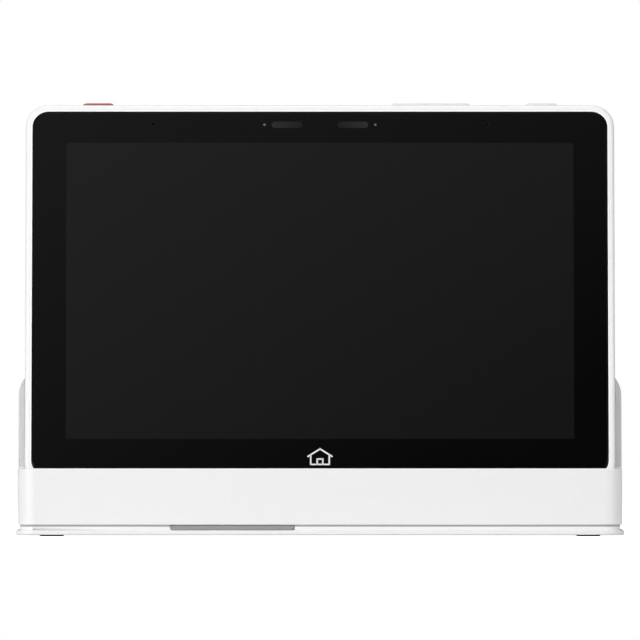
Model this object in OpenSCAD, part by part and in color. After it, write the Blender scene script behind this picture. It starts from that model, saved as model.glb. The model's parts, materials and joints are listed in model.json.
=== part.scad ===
// Smart home hub: a touch-screen tablet that stands, leaning back, in a charging dock.
// Millimetres. +X is the viewer's right, +Y runs from the screen to the back, +Z is up.
// The origin is on the table, under the middle of the base plate.

/* [Tablet] */
// Width of the tablet
tablet_w = 200; // [190:1:204]
// Height of the tablet along its own face
tablet_h = 137.8; // [137:0.1:139]
// Thickness of the tablet
tablet_t = 16; // [15:0.5:18]
// Radius of the tablet's four corners
tablet_r = 7.8; // [6:0.2:12]
// Radius of the edge round the screen side
front_edge_r = 1.4; // [0.6:0.1:1.6]
// Radius of the edge round the back cover
back_edge_r = 3.4; // [2:0.2:5]
// White rim left and right of the screen glass
rim_side = 2.25; // [1.8:0.05:3]
// White rim above and below the screen glass
rim_end = 2.7; // [2.2:0.1:3]
// Backward lean of the tablet in degrees
lean = 21; // [15:1:25]

/* [Screen] */
// Width of the lit area
lit_w = 172.2; // [160:0.1:180]
// Height of the lit area
lit_h = 107.6; // [100:0.1:110]
// Lower edge of the lit area above the tablet's lower edge
lit_z = 16.1; // [14:0.1:20]
// Height of the row of sensors above the tablet's lower edge
sensor_z = 130.3; // [129.6:0.1:130.6]

/* [Keys] */
// Distance of the alarm key and the power key from the middle
key_x = 75.4; // [70:0.2:80]
// Length of the alarm key and the power key
key_w = 11.3; // [9:0.1:13]
// Distance of the volume rocker from the middle
rocker_x = 37.7; // [32:0.1:42]
// Length of the volume rocker
rocker_w = 27.3; // [22:0.1:30]
// Thickness of the keys, front to back
key_t = 4.4; // [3.5:0.1:5]
// Height of the keys above the tablet's edge
key_proud = 1.5; // [1:0.1:2.5]
// Travel of the alarm key
alarm_travel = 0.8; // [0.4:0.1:0.9]
// Travel of the power key
power_travel = 0.6; // [0.3:0.1:0.8]

/* [Dock] */
// Width of the dock
dock_w = 204.4; // [204:0.1:212]
// Depth of the dock, front to back
dock_d = 77; // [74:0.5:90]
// Radius of the dock's upright corners
dock_r = 6; // [4:0.5:10]
// Height of the front lip above the table
lip_z = 23; // [20:0.1:26]
// Height of the backrest, measured along the tablet
backrest_z = 46.2; // [40:0.2:60]
// Radius of the backrest's two upper corners
backrest_r = 12; // [6:0.5:16]
// Radius of the long curve over the dock's back
hump_r = 75; // [60:1:120]

/* [Base plate] */
// Thickness of the plate's flange
flange_t = 1.6; // [1.5:0.1:2.5]
// Height of the recessed neck between flange and dock
neck_h = 1.8; // [1.5:0.1:2.5]
// Overhang of the flange past the dock all round
flange_over = 0.7; // [0.3:0.1:1.5]
// Set-back of the neck behind the dock's wall
neck_in = 0.7; // [0.4:0.1:1.5]
// Height of the rubber feet under the flange
foot_proud = 0.5; // [0.3:0.1:1.5]
// Radius of a rubber foot
foot_r = 4.05; // [3:0.05:6]
// Distance of the feet from the middle, left and right
foot_x = 90.8; // [80:0.2:92]
// Distance of the feet from the middle, front and back
foot_y = 29; // [22:0.5:31]

/* [Release latch] */
// Middle of the latch bar, left of the dock's middle
latch_x = -29.6; // [-34:0.2:-26]
// Length of the latch bar
latch_w = 41.7; // [36:0.1:44]
// Travel of the latch bar
latch_travel = 1.5; // [1:0.1:1.8]

/* [Hidden] */
$fn = 64;

eps = 0.01;
far = 300; // longer than the whole object, for cutting away everything on one side

// Walls and gaps
shell = 2.2;        // wall of the tablet's two housings
dock_wall = 2;      // wall of the dock's rear shell
lip_t = 2.2;        // wall of the dock's front lip
side_gap = 0.5;     // tablet to side wall
back_gap = 0.6;     // tablet to backrest
floor_gap = 0.5;    // tablet to pocket floor
lip_gap = 0.4;      // tablet to the inside of the lip
floor_t = 2;        // pocket floor
rest_t = 2.2;       // backrest
wing_y = 7;         // the side wings start this far behind the screen
guide_y = 6.6;      // behind this, the tablet's sides step in to run between the wings
guide_step = 0.35;  // depth of that step
guide_gap = 0.3;    // tablet to wing, behind the step

// Heights of the base plate and the dock
flange_z = foot_proud;
neck_z = flange_z + flange_t;
dock_z = neck_z + neck_h;
chassis_t = 1.6;
deck_z = dock_z + chassis_t;

// Place of the tablet's lower front edge
tablet_y = -dock_d / 2 + lip_t + lip_gap;
tablet_z = 18;

// Screen stack, measured back from the rim
glass_r = 5.6;         // corner radius of the glass opening
window_h = 122.7;      // opening behind the glass, for the panel and the sensors
glass_y = 0.15;
glass_t = 1.15;
gasket_w = 0.42;
glass_back = glass_y + glass_t;
ledge_t = 1.2;
ledge_y = glass_back + ledge_t;
lcd_t = 3;
lcd_w = lit_w + 10.8;
lcd_h = lit_h + 6;
lcd_z = lit_z - 4.5;
plate_y = ledge_y + 2;
plate_t = 0.6;
plate_back = plate_y + plate_t;
split_y = 9; // joint between the frame and the back cover
mic_x = 56.75;
mic_r = 0.5;
emitter_x = 18.85;
window_x = 11.2;
camera_z = sensor_z - 0.4;
sensor_w = 10.3;       // windows either side of the camera
sensor_h = 2.4;

// Pieces on the mid plate
board_gap = 1.5;       // mid plate to main board
board_t = 1;
board_w = 120;
board_h = 40;
board_z = 82;
battery_w = 96;
battery_h = 58;
battery_t = 5.4;
battery_z = 16;
lead_x = [-38.2, -36.6, -35];  // the battery's three wires
flex_x = [48.2, 53.5];         // sides of the display's flat cable
flex_t = 0.2;
speaker_x = 75;
speaker_w = 34;
speaker_z = [55, 82];
speaker_back = 12;
cone_z = 69;
cone_r = 11;

// Keys
key_y = 5;             // middle of the keys behind the screen side
key_slot = 0.15;       // gap round a key
rocker_slot = 0.4;     // gap at the rocker's ends, for its tilt
key_board_z = 129.4;
key_board_t = 0.8;
switch_h = 1.8;
switch_top = key_board_z + key_board_t + switch_h;
rocker_pivot_z = 134;
rocker_reach = 10;     // rocker's pivot to each of its switches
pin_r = 0.6;
pin_gap = 0.05;
cheek_y = 2;           // middle of each cheek of the rocker's bracket, from the rocker
cheek_t = 0.8;
cap_r = 1.1;           // rounding of a key's top
collar_over = 1.3;     // a key's collar runs this far past its cap

// Charging contacts
contact_y = 5.5;
contact_pitch = 5;
contact_count = 5;
pogo_r = 0.7;
pogo_tip = 0.15;       // top of a pin above the tablet's lower edge
pogo_travel = 0.6;
pad_z = 0.2;
carrier_w = 29.8;      // moulding that holds the tablet's pads
pogo_well_w = 26.4;    // opening for the pins in the pocket's floor
pogo_block_w = 29;
pogo_chamber_z = -7.2; // bottom of the chambers for the springs
pogo_collar_z = -3.4;
pogo_collar_r = 1.05;
pogo_wire = 0.14;
pogo_coil_r = 0.8;

// Magnets and pads
magnet_x = 35;
magnet_w = 20;
magnet_z = [14, 24];
magnet_t = 2;
rubber_x = 60;
rubber_w = 44;

// Screws: radius and height of the head, radius of the shank
screw_head_r = 1.5;
screw_head_h = 0.7;
screw_r = 0.75;
post_screw_head_r = 2.4;
post_screw_head_h = 1;
post_screw_r = 1.2;
mid_plate_holes = [for (x = [-94.8, 94.8], z = [20, 70, 116]) [x, z]];
board_holes = [for (x = [-56, 56], z = [86, 118]) [x, z]];
front_posts = [for (x = [-92, -58, 58, 92]) [x, -28]];
side_posts = [for (x = [-92, 92]) [x, 18]];
back_posts = [for (x = [-56, 56]) [x, 32]];
post_holes = concat(front_posts, side_posts, back_posts);
post_r = 3;
post_h = 6;            // posts of the rear shell
rib_t = 1.6;
ballast_x = 53;
ballast_w = 54;
ballast_y = [-14, 24];
ballast_t = 4;
ballast_lift = 0.2;
ballast_holes = [for (x = [-73, -33, 33, 73]) [x, 8]];
dock_board_holes = [for (x = [-18, 18]) [x, 16]];
desk_holes = [for (x = [-60, 60], y = [-15, 15]) [x, y]];
hook_x = 74;
hook_y = 27;
hook_w = 6;
peg = [80, -25];
peg_r = 2;
usb_z = 9.6;
usb_w = 8.9;
usb_h = 3;
usb_wall = 0.3;
usb_front = 30.2;      // front of the socket's shell
plug_w = 11.6;         // window for the plug's moulding
plug_h = 5.4;
vent_pitch = 5;
crest_y = 22.5;        // the long curve starts this far behind the screen
rear_wall_z = 14.5;    // top of the short upright wall at the very back
dock_board_w = 46;
dock_board_d = 23.6;
dock_board_y = 24.2;
dock_board_t = 1;
dock_board_z = deck_z + 1.5;
ribbon_t = 0.25;       // flat cable in the dock
ribbon_w = 9;
ribbon_y = [-33, 12.2];
ribbon_z = 6.1;

contact_xs = [for (i = [0 : contact_count - 1]) (i - (contact_count - 1) / 2) * contact_pitch];

// ---------------------------------------------------------------- shared shapes

// The tablet's own frame: origin at its lower front edge, Y into it, Z up along its face.
module in_tablet() translate([0, tablet_y, tablet_z]) rotate([-lean, 0, 0]) children();

// A flat drawing of the tablet frame in side view, with Y to the right and Z up.
module lean_2d() translate([tablet_y, tablet_z]) rotate(-lean) children();

// Extrudes a drawing of X and Z backwards from y, to a thickness of t.
module slab(y, t) translate([0, y + t, 0]) rotate([90, 0, 0]) linear_extrude(t) children();

// Extrudes a side view, of Y and Z, to a width of w about the middle.
module prism_x(w) rotate([90, 0, 90]) linear_extrude(w, center = true) children();

// A rectangle with round corners, standing on y = 0 and centred left to right.
module panel_2d(w, h, r) {
    translate([-w / 2 + r, 0]) square([w - 2 * r, h]);
    translate([-w / 2, r]) square([w, h - 2 * r]);
    for (x = [-1, 1], y = [r, h - r]) translate([x * (w / 2 - r), y]) circle(r);
}

// The same rectangle, centred both ways.
module plan_2d(w, d, r) translate([0, -d / 2]) panel_2d(w, d, r);

// A slot with half-round ends, w long and h high, centred.
module stadium_2d(w, h) {
    square([w - h, h], center = true);
    for (x = [-1, 1]) translate([x * (w - h) / 2, 0]) circle(h / 2);
}

module box(x, y, z) translate([x[0], y[0], z[0]]) cube([x[1] - x[0], y[1] - y[0], z[1] - z[0]]);

// A cylinder that runs back from y.
module rod_y(r, y, t) translate([0, y + t, 0]) rotate([90, 0, 0]) cylinder(r = r, h = t);

// Half of a plate's thickness, from its edge inwards: a block whose outer edge is round.
module edge_2d(half, t, f) {
    square([half - f, t]);
    square([half, t - f]);
    translate([half - f, t - f]) circle(f);
}

// A plate with round corners r and one round edge f. It stands on z = 0 with its square face
// at y = 0 and its round-edged face at y = t.
module soft_plate(w, h, r, t, f) {
    for (x = [-1, 1], z = [r, h - r])
        translate([x * (w / 2 - r), 0, z]) rotate([-90, 0, 0]) rotate_extrude() edge_2d(r, t, f);
    translate([0, 0, r]) linear_extrude(h - 2 * r)
        for (side = [0, 1]) mirror([side, 0]) edge_2d(w / 2, t, f);
    translate([0, 0, h / 2]) rotate([0, 90, 0]) linear_extrude(w - 2 * r, center = true)
        for (side = [0, 1]) mirror([side, 0]) edge_2d(h / 2, t, f);
}

// A screw whose head sits on z = 0 with its shank pointing down.
module screw(head_r, head_h, shank_r, shank) {
    difference() {
        cylinder(r = head_r, h = head_h);
        translate([0, 0, head_h * 0.4]) cylinder(r = shank_r * 0.8, h = head_h, $fn = 6);
    }
    translate([0, 0, -shank]) cylinder(r = shank_r, h = shank + eps);
}

// Points of a ring of a coil: wire of radius wire, at turn angle a, rising by pitch a turn.
function coil_ring(r, wire, pitch, a, sides) = [
    for (s = [0 : sides - 1])
        let (b = s * 360 / sides, out = r + wire * cos(b))
        [out * cos(a), out * sin(a), pitch * a / 360 + wire * sin(b)]
];

// A compression spring along Z, with its wire's centre line starting at z = 0.
module coil(r, wire, length, turns, steps = 14, sides = 6) {
    rings = turns * steps;
    points = [
        for (i = [0 : rings]) each coil_ring(r, wire, length / turns, i * 360 / steps, sides)
    ];
    walls = [
        for (i = [0 : rings - 1], s = [0 : sides - 1])
            let (n = (s + 1) % sides)
            [i * sides + s, (i + 1) * sides + s, (i + 1) * sides + n, i * sides + n]
    ];
    ends = [
        [for (s = [0 : sides - 1]) s],
        [for (s = [sides - 1 : -1 : 0]) rings * sides + s]
    ];
    polyhedron(points, concat(walls, ends));
}

// ---------------------------------------------------------------- tablet housings

module glass_opening_2d() {
    translate([0, rim_end]) panel_2d(tablet_w - 2 * rim_side, tablet_h - 2 * rim_end, glass_r);
}

module inside_2d() {
    translate([0, shell]) panel_2d(tablet_w - 2 * shell, tablet_h - 2 * shell, tablet_r - shell);
}

module key_slot_cut(x, w, gap) {
    box([x - w / 2 - gap, x + w / 2 + gap],
        [key_y - key_t / 2 - key_slot, key_y + key_t / 2 + key_slot],
        [tablet_h - shell - 1, tablet_h + 1]);
}

// What the tablet's two sides lose behind the guide step.
module guide_cuts() for (side = [0, 1]) mirror([side, 0, 0])
    box([tablet_w / 2 - guide_step, tablet_w], [guide_y, far], [-1, tablet_h + 1]);

module tablet_frame() color("whitesmoke") in_tablet() {
    difference() {
        translate([0, split_y, 0]) mirror([0, 1, 0])
            soft_plate(tablet_w, tablet_h, tablet_r, split_y, front_edge_r);
        slab(-1, glass_back + 1) glass_opening_2d();
        slab(0, ledge_y + 1) translate([0, lcd_z - 1]) panel_2d(lcd_w + 2.4, window_h, 2);
        slab(ledge_y, split_y) inside_2d();
        key_slot_cut(-key_x, key_w, key_slot);
        key_slot_cut(key_x, key_w, key_slot);
        key_slot_cut(rocker_x, rocker_w, rocker_slot);
        box([-carrier_w / 2 - 0.1, carrier_w / 2 + 0.1], [contact_y - 2.1, contact_y + 2.1],
            [-1, shell + 1]);
        guide_cuts();
    }
    // posts for the screws of the mid plate
    for (p = mid_plate_holes) translate([p[0], 0, p[1]]) difference() {
        rod_y(2, ledge_y - eps, plate_y - ledge_y + eps);
        rod_y(screw_r + 0.05, ledge_y, far);
    }
}

module tablet_back_cover() color("white") in_tablet() difference() {
    translate([0, split_y, 0])
        soft_plate(tablet_w, tablet_h, tablet_r, tablet_t - split_y, back_edge_r);
    slab(split_y - 1, tablet_t - split_y + 1 - shell) inside_2d();
    // sound slots over the two speakers
    for (side = [-1, 1], i = [0 : 6])
        translate([side * speaker_x, 0, cone_z + (i - 3) * 3])
            slab(split_y, far) stadium_2d(26, 1.2);
    guide_cuts();
}

module cover_glass() color([0.05, 0.05, 0.06]) in_tablet() difference() {
    inset = gasket_w + 0.05;
    slab(glass_y, glass_t) translate([0, rim_end + inset])
        panel_2d(tablet_w - 2 * (rim_side + inset), tablet_h - 2 * (rim_end + inset),
                 glass_r - inset);
    for (x = [-mic_x, mic_x]) translate([x, 0, sensor_z]) rod_y(mic_r, 0, glass_t + 1);
}

module glass_gasket() color([0.02, 0.02, 0.02]) in_tablet() difference() {
    slab(glass_y + 0.15, glass_t - 0.15) glass_opening_2d();
    slab(0, glass_t + 1) translate([0, rim_end + gasket_w])
        panel_2d(tablet_w - 2 * (rim_side + gasket_w), tablet_h - 2 * (rim_end + gasket_w),
                 glass_r - gasket_w);
}

// ---------------------------------------------------------------- inside the tablet

module lcd_panel() color([0.12, 0.12, 0.13]) in_tablet()
    slab(glass_back, lcd_t) translate([0, lcd_z]) panel_2d(lcd_w, lcd_h, 1);

module mid_plate() color("silver") in_tablet() {
    difference() {
        slab(plate_y, plate_t) translate([0, 9]) panel_2d(2 * 97.2, 117, 3);
        for (p = mid_plate_holes) translate([p[0], 0, p[1]]) rod_y(screw_r + 0.1, 0, far);
    }
    // posts that hold the main board off the plate
    for (p = board_holes) translate([p[0], 0, p[1]]) difference() {
        rod_y(1.9, plate_back - eps, board_gap + eps);
        rod_y(screw_r + 0.05, plate_back, far);
    }
}

module mid_plate_screws() color("dimgray") in_tablet()
    for (p = mid_plate_holes) translate([p[0], plate_back, p[1]]) rotate([-90, 0, 0])
        screw(screw_head_r, screw_head_h, screw_r, 2.4);

board_y = plate_back + board_gap;
board_back = board_y + board_t;

module main_board() color("darkgreen") in_tablet() difference() {
    slab(board_y, board_t) translate([0, board_z]) panel_2d(board_w, board_h, 2);
    for (p = board_holes) translate([p[0], 0, p[1]]) rod_y(screw_r + 0.1, 0, far);
}

module board_shields() color("gainsboro") in_tablet() {
    box([-34, 2], [board_back, board_back + 2], [92, 118]);
    box([14, 38], [board_back, board_back + 1.8], [98, 116]);
}

module board_chips() color([0.1, 0.1, 0.1]) in_tablet() {
    box([8, 26], [board_back, board_back + 1.2], [85, 93]);
    for (i = [0 : 4]) box([31 + 4 * i, 33.5 + 4 * i], [board_back, board_back + 1.4], [86, 91]);
    box([-52, -40], [board_back, board_back + 2.2], [96, 104]);
}

module board_screws() color("dimgray") in_tablet()
    for (p = board_holes) translate([p[0], board_back, p[1]]) rotate([-90, 0, 0])
        screw(screw_head_r, screw_head_h, screw_r, 2.2);

module battery_pack() color([0.2, 0.22, 0.24]) in_tablet()
    slab(plate_back + 0.4, battery_t) translate([0, battery_z])
        panel_2d(battery_w, battery_h, 1.5);

module battery_lead() color("crimson") in_tablet() {
    for (x = lead_x) translate([x, board_back + 0.7, battery_z + battery_h])
        cylinder(r = 0.6, h = 12.1);
    box([-39.6, -33.6], [board_back, board_back + 2], [86, 89.5]);
}

module display_flex() color("orange") in_tablet() {
    low = 8.2;
    outside = plate_back + 0.05;
    box(flex_x, [plate_y - flex_t, plate_y], [low, lcd_z + 2]);
    box(flex_x, [plate_y - flex_t, outside + flex_t], [low, low + flex_t]);
    box(flex_x, [outside, outside + flex_t], [low, board_z + 2.1]);
    box([44, 53.6], [outside, board_y], [board_z + 2, board_z + 5.5]);
}

module speaker() color([0.08, 0.08, 0.08]) in_tablet() difference() {
    union() {
        box([speaker_x - speaker_w / 2, speaker_x + speaker_w / 2],
            [plate_back + 0.2, speaker_back], speaker_z);
        translate([speaker_x, 0, cone_z]) rod_y(cone_r, speaker_back - eps, 1.4);
    }
    translate([speaker_x, 0, cone_z]) rod_y(cone_r - 2.4, speaker_back + 0.9, 2);
}

module speaker_left() mirror([1, 0, 0]) speaker();
module speaker_right() speaker();

module camera_module() color([0.08, 0.08, 0.1]) in_tablet() {
    translate([0, 0, camera_z]) rod_y(2.2, glass_back, 2.3);
    box([-3.2, 3.2], [3.6, 6.6], [camera_z - 3.2, camera_z + 3.2]);
}

module face_sensor() color("darkslategray") in_tablet() {
    difference() {
        box([-22, 22], [3.7, 4.3], [camera_z - 3, camera_z + 3.2]);
        box([-3.6, 3.6], [3, 5], [camera_z - 4, camera_z + 4]);
    }
    for (x = [-window_x, window_x]) translate([x, 0, sensor_z]) slab(glass_back, 2.4 + eps)
        stadium_2d(sensor_w, sensor_h);
    for (x = [-emitter_x, emitter_x]) translate([x, 0, sensor_z]) rod_y(0.8, glass_back, 2.4 + eps);
}

module microphones() color("gold") in_tablet()
    for (x = [-mic_x, mic_x])
        box([x - 1.8, x + 1.8], [glass_back, glass_back + 1.1], [sensor_z - 1.3, sensor_z + 1.3]);

// ---------------------------------------------------------------- keys

module alarm_switch_board() color("darkgreen") in_tablet()
    box([-key_x - 8, -key_x + 8], [2.8, 7.8], [key_board_z, key_board_z + key_board_t]);

module key_switch_board() color("darkgreen") in_tablet()
    box([rocker_x - 14, key_x + 8], [2.8, 7.8], [key_board_z, key_board_z + key_board_t]);

module key_switches() color("lightgray") in_tablet()
    for (x = [-key_x, rocker_x - rocker_reach, rocker_x + rocker_reach, key_x])
        translate([x, key_y, key_board_z + key_board_t]) {
            translate([-1.75, -1.6, 0]) cube([3.5, 3.2, switch_h - 0.5]);
            cylinder(r = 0.9, h = switch_h);
        }

// What a cap of width w keeps: everything under a top with round ends.
module rounded_top(w, top) rotate([90, 0, 0]) linear_extrude(key_t, center = true)
    translate([0, top - 2 * key_t]) panel_2d(w, 2 * key_t, cap_r);

// A key: a cap with rounded ends and top, a wider collar inside the wall, and a stem.
module key(x, travel) in_tablet() translate([x, key_y, 0]) {
    top = tablet_h + key_proud;
    wall_in = tablet_h - shell;
    intersection() {
        translate([0, 0, wall_in - 0.8]) linear_extrude(top - wall_in + 0.8)
            stadium_2d(key_w, key_t);
        rounded_top(key_w, top);
    }
    translate([-key_w / 2 - collar_over, -key_t / 2 + 0.3, wall_in - 1])
        cube([key_w + 2 * collar_over, key_t - 0.6, 0.9]);
    translate([0, 0, switch_top + travel + 0.05])
        cylinder(r = 1.4, h = wall_in - 1 - switch_top - travel);
}

module alarm_key() color("crimson") key(-key_x, alarm_travel);
module power_key() color("whitesmoke") key(key_x, power_travel);

module rocker_bracket() color("silver") in_tablet() translate([rocker_x, key_y, 0]) {
    base = key_board_z + key_board_t;
    box([-2.4, 2.4], [-2.6, 2.6], [base, base + 0.6]);
    for (y = [-1, 1]) difference() {
        box([-1.5, 1.5], [y * cheek_y - cheek_t / 2, y * cheek_y + cheek_t / 2],
            [base + 0.6 - eps, rocker_pivot_z + 1.2]);
        translate([0, 0, rocker_pivot_z]) rod_y(pin_r, -far / 2, far);
    }
}

module rocker_pin() color("dimgray") in_tablet()
    translate([rocker_x, 0, rocker_pivot_z])
        rod_y(pin_r, key_y - cheek_y - cheek_t / 2, 2 * cheek_y + cheek_t);

module volume_rocker() color("whitesmoke") in_tablet() translate([rocker_x, key_y, 0]) {
    top = tablet_h + key_proud;
    skirt = rocker_pivot_z + 1.5;
    difference() {
        union() {
            intersection() {
                translate([0, 0, skirt]) linear_extrude(top - skirt) stadium_2d(rocker_w, key_t);
                rounded_top(rocker_w, top);
            }
            box([-1.6, 1.6], [-1.4, 1.4], [rocker_pivot_z - 1.3, skirt + eps]);
            for (x = [-1, 1]) translate([x * rocker_reach, 0, switch_top + 0.5])
                cylinder(r = 1.2, h = skirt - switch_top - 0.5 + eps);
        }
        translate([0, 0, rocker_pivot_z]) rod_y(pin_r + pin_gap, -far / 2, far);
    }
}

// ---------------------------------------------------------------- charging contacts

module contact_carrier() color([0.1, 0.1, 0.1]) in_tablet() difference() {
    box([-carrier_w / 2, carrier_w / 2], [contact_y - 2, contact_y + 2], [0.35, 3]);
    for (x = contact_xs) translate([x, contact_y, 0]) cylinder(r = 1.3, h = 0.9);
}

module contact_pads() color("gold") in_tablet()
    for (x = contact_xs) translate([x, contact_y, pad_z]) cylinder(r = 1.25, h = 0.7);

module tablet_magnets() color("silver") in_tablet()
    for (x = [-1, 1]) box([x * magnet_x - magnet_w / 2, x * magnet_x + magnet_w / 2],
                          [tablet_t - shell - 1.6, tablet_t - shell], magnet_z);

// ---------------------------------------------------------------- dock shells

module above_2d(z) translate([-far / 2, z]) square(far);
module seam_front_2d() lean_2d() translate([-far, -far / 2])
    square([far + tablet_t + back_gap + rest_t, far]);

// Centre of the circle that carries the long curve over the dock's back. The curve runs from
// the top of the backrest to the upper end of the short upright wall at the very back.
hump_top = [tablet_y + crest_y * cos(lean) + backrest_z * sin(lean),
            tablet_z - crest_y * sin(lean) + backrest_z * cos(lean)];
hump_foot = [dock_d / 2, rear_wall_z];
hump_chord = hump_foot - hump_top;
hump_sag = sqrt(pow(hump_r, 2) - pow(norm(hump_chord) / 2, 2));
hump_centre = (hump_top + hump_foot) / 2
    + [hump_chord[1], -hump_chord[0]] / norm(hump_chord) * hump_sag;

// Side views of the two shells. They run on upwards and sideways: dock_outline cuts them.
module cradle_side_2d() intersection() {
    union() {
        translate([-far / 2, 0]) square([far, lip_z]);
        lean_2d() translate([wing_y, -far / 2]) square(far);
    }
    seam_front_2d();
    above_2d(dock_z);
}

module hump_2d(inset) translate(hump_centre) circle(hump_r - inset, $fn = 128);

module rear_side_2d() difference() {
    intersection() {
        hump_2d(0);
        above_2d(dock_z);
    }
    seam_front_2d();
}

// What the dock's outline allows: upright corners and the backrest's upper corners.
module dock_outline(inset) intersection() {
    translate([0, 0, -1])
        linear_extrude(far / 2) plan_2d(dock_w - 2 * inset, dock_d - 2 * inset, dock_r - inset);
    in_tablet() slab(-far / 2, far) translate([0, -far / 2])
        panel_2d(dock_w - 2 * inset, far / 2 + backrest_z - inset, backrest_r - inset);
}

module post(p, z0, z1) translate([p[0], p[1], z0]) difference() {
    cylinder(r = post_r, h = z1 - z0);
    translate([0, 0, -1]) cylinder(r = post_screw_r + 0.05, h = 6);
}

side_wall = (dock_w - tablet_w) / 2 - side_gap;
wing_x = tablet_w / 2 - guide_step + guide_gap;  // inner faces of the wings

module cradle_shell() color("white") {
    difference() {
        intersection() {
            prism_x(far) cradle_side_2d();
            dock_outline(0);
        }
        // the pocket that the tablet stands in
        difference() {
            in_tablet() {
                box([-tablet_w / 2 - side_gap, tablet_w / 2 + side_gap],
                    [-far / 2, wing_y], [-floor_gap, far]);
                box([-wing_x, wing_x], [-far / 2, tablet_t + back_gap], [-floor_gap, far]);
            }
            box([-far, far], [-far, -dock_d / 2 + lip_t], [-far, far]);
        }
        // the hollow under the pocket's floor
        intersection() {
            in_tablet() box([-far / 2, far / 2], [-far / 2, far / 2],
                            [-far, -floor_gap - floor_t]);
            translate([0, 0, -1]) linear_extrude(far)
                plan_2d(dock_w - 2 * side_wall, dock_d - 2 * lip_t, dock_r - side_wall);
        }
        in_tablet() box([-pogo_well_w / 2, pogo_well_w / 2], [contact_y - 2.2, contact_y + 2.2],
                        [-floor_t - 2, 1]);
    }
    // screw posts under the pocket's floor
    intersection() {
        for (p = front_posts) post(p, deck_z, 20);
        in_tablet() box([-far / 2, far / 2], [-far / 2, far / 2],
                        [-far, -floor_gap - floor_t + eps]);
    }
}

module rear_shell() color("white") {
    difference() {
        intersection() {
            prism_x(far) rear_side_2d();
            dock_outline(0);
        }
        intersection() {
            prism_x(far) hump_2d(dock_wall);
            dock_outline(dock_wall);
        }
        // window for the power plug, and air slots above it
        translate([0, 0, usb_z]) slab(0, far) stadium_2d(plug_w, plug_h);
        for (side = [-1, 1], i = [0 : 4])
            translate([side * (22 + vent_pitch * i), 0, 9])
            slab(0, far) rotate(90) stadium_2d(6, 1.6);
    }
    // screw posts, each tied to the wall beside it by a rib
    for (p = side_posts) {
        post(p, deck_z, deck_z + post_h);
        x = p[0] + sign(p[0]) * 5.7;
        box([x - 2.9, x + 2.9], [p[1] - rib_t / 2, p[1] + rib_t / 2], [deck_z, deck_z + post_h]);
    }
    for (p = back_posts) {
        post(p, deck_z, deck_z + post_h);
        box([p[0] - rib_t / 2, p[0] + rib_t / 2], [p[1] + 2.8, p[1] + 4.7],
            [deck_z, deck_z + post_h]);
    }
}

module dock_chassis() color("lightgray") difference() {
    union() {
        translate([0, 0, dock_z]) linear_extrude(chassis_t)
            plan_2d(dock_w - 2 * dock_wall - 0.5, dock_d - 2 * lip_t - 0.4, 3.6);
        for (p = dock_board_holes) translate([p[0], p[1], deck_z - eps]) cylinder(r = 2.2, h = 1.5);
        for (p = ballast_holes) translate([p[0], p[1], deck_z - eps]) cylinder(r = 2.6, h = 3.2);
    }
    for (p = dock_board_holes) translate([p[0], p[1], dock_z + 0.6]) cylinder(r = 0.8, h = 9);
    for (p = ballast_holes) translate([p[0], p[1], dock_z + 0.6]) cylinder(r = 0.8, h = 9);
    for (p = post_holes) translate([p[0], p[1], dock_z - 1]) {
        cylinder(r = post_screw_r + 0.15, h = 9);
        cylinder(r = post_screw_head_r + 0.2, h = post_screw_head_h + 1.1);
    }
    for (x = [-1, 1]) {
        box([x * hook_x - hook_w / 2 - 0.4, x * hook_x + hook_w / 2 + 0.4],
            [hook_y - 2.8, hook_y + 1.4], [0, 9]);
        translate([x * peg[0], peg[1], 0]) cylinder(r = peg_r + 0.15, h = 9);
    }
    // window for the latch's tooth
    box([latch_x - 8.4, latch_x + 8.4], [-31.4, -27.4 + latch_travel], [0, 9]);
}

// ---------------------------------------------------------------- base plate and latch

latch_y = -dock_d / 2 + neck_in + 0.15;  // front of the bar, just inside the neck
latch_h = neck_h - 0.2;
latch_d = 7.5;
spring_x = 13;
spring_len = 5.2;
spring_r = 0.85;
spring_wire = 0.22;

// The bar as seen from the front: its lower corners are round.
module latch_front_2d(w, h, r) {
    translate([-w / 2 + r, 0]) square([w - 2 * r, h]);
    translate([-w / 2, r]) square([w, h - r]);
    for (x = [-1, 1]) translate([x * (w / 2 - r), r]) circle(r);
}

module base_plate() color("white") {
    difference() {
        union() {
            translate([0, 0, flange_z]) linear_extrude(flange_t)
                plan_2d(dock_w + 2 * flange_over, dock_d + 2 * flange_over, dock_r + flange_over);
            translate([0, 0, neck_z - eps]) linear_extrude(neck_h + eps)
                plan_2d(dock_w - 2 * neck_in, dock_d - 2 * neck_in, dock_r - neck_in);
        }
        for (x = [-1, 1], y = [-1, 1])
            translate([x * foot_x, y * foot_y, flange_z - 1]) cylinder(r = foot_r + 0.1, h = 1.8);
        // holes for screws into a desk or a wall bracket
        for (p = desk_holes) translate([p[0], p[1], 0]) {
            cylinder(r = 2.1, h = 9);
            translate([0, 0, neck_z]) cylinder(r = 4.2, h = 9);
        }
        // the latch's pocket, open to the front and on top
        translate([latch_x, 0, neck_z]) slab(-dock_d / 2, 3.5)
            latch_front_2d(latch_w + 0.4, 3, 0.6);
        box([latch_x - latch_w / 2 - 0.2, latch_x + latch_w / 2 + 0.2],
            [-dock_d / 2 + 3.4, latch_y + latch_d + latch_travel + 0.5], [neck_z, 9]);
        box([latch_x - 17, latch_x + 17],
            [latch_y + 2, latch_y + latch_d + spring_len + 0.1], [neck_z - 0.7, 9]);
    }
    // hooks at the back and locating pegs at the front
    for (x = [-1, 1]) {
        sides = [x * hook_x - hook_w / 2, x * hook_x + hook_w / 2];
        box(sides, [hook_y - 1.2, hook_y + 0.8], [dock_z - eps, deck_z + 1.6]);
        box(sides, [hook_y + 0.8 - eps, hook_y + 2.6],
            [deck_z + 0.1, deck_z + 1.6]);
        translate([x * peg[0], peg[1], dock_z - eps]) cylinder(r = peg_r, h = chassis_t);
    }
}

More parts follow.
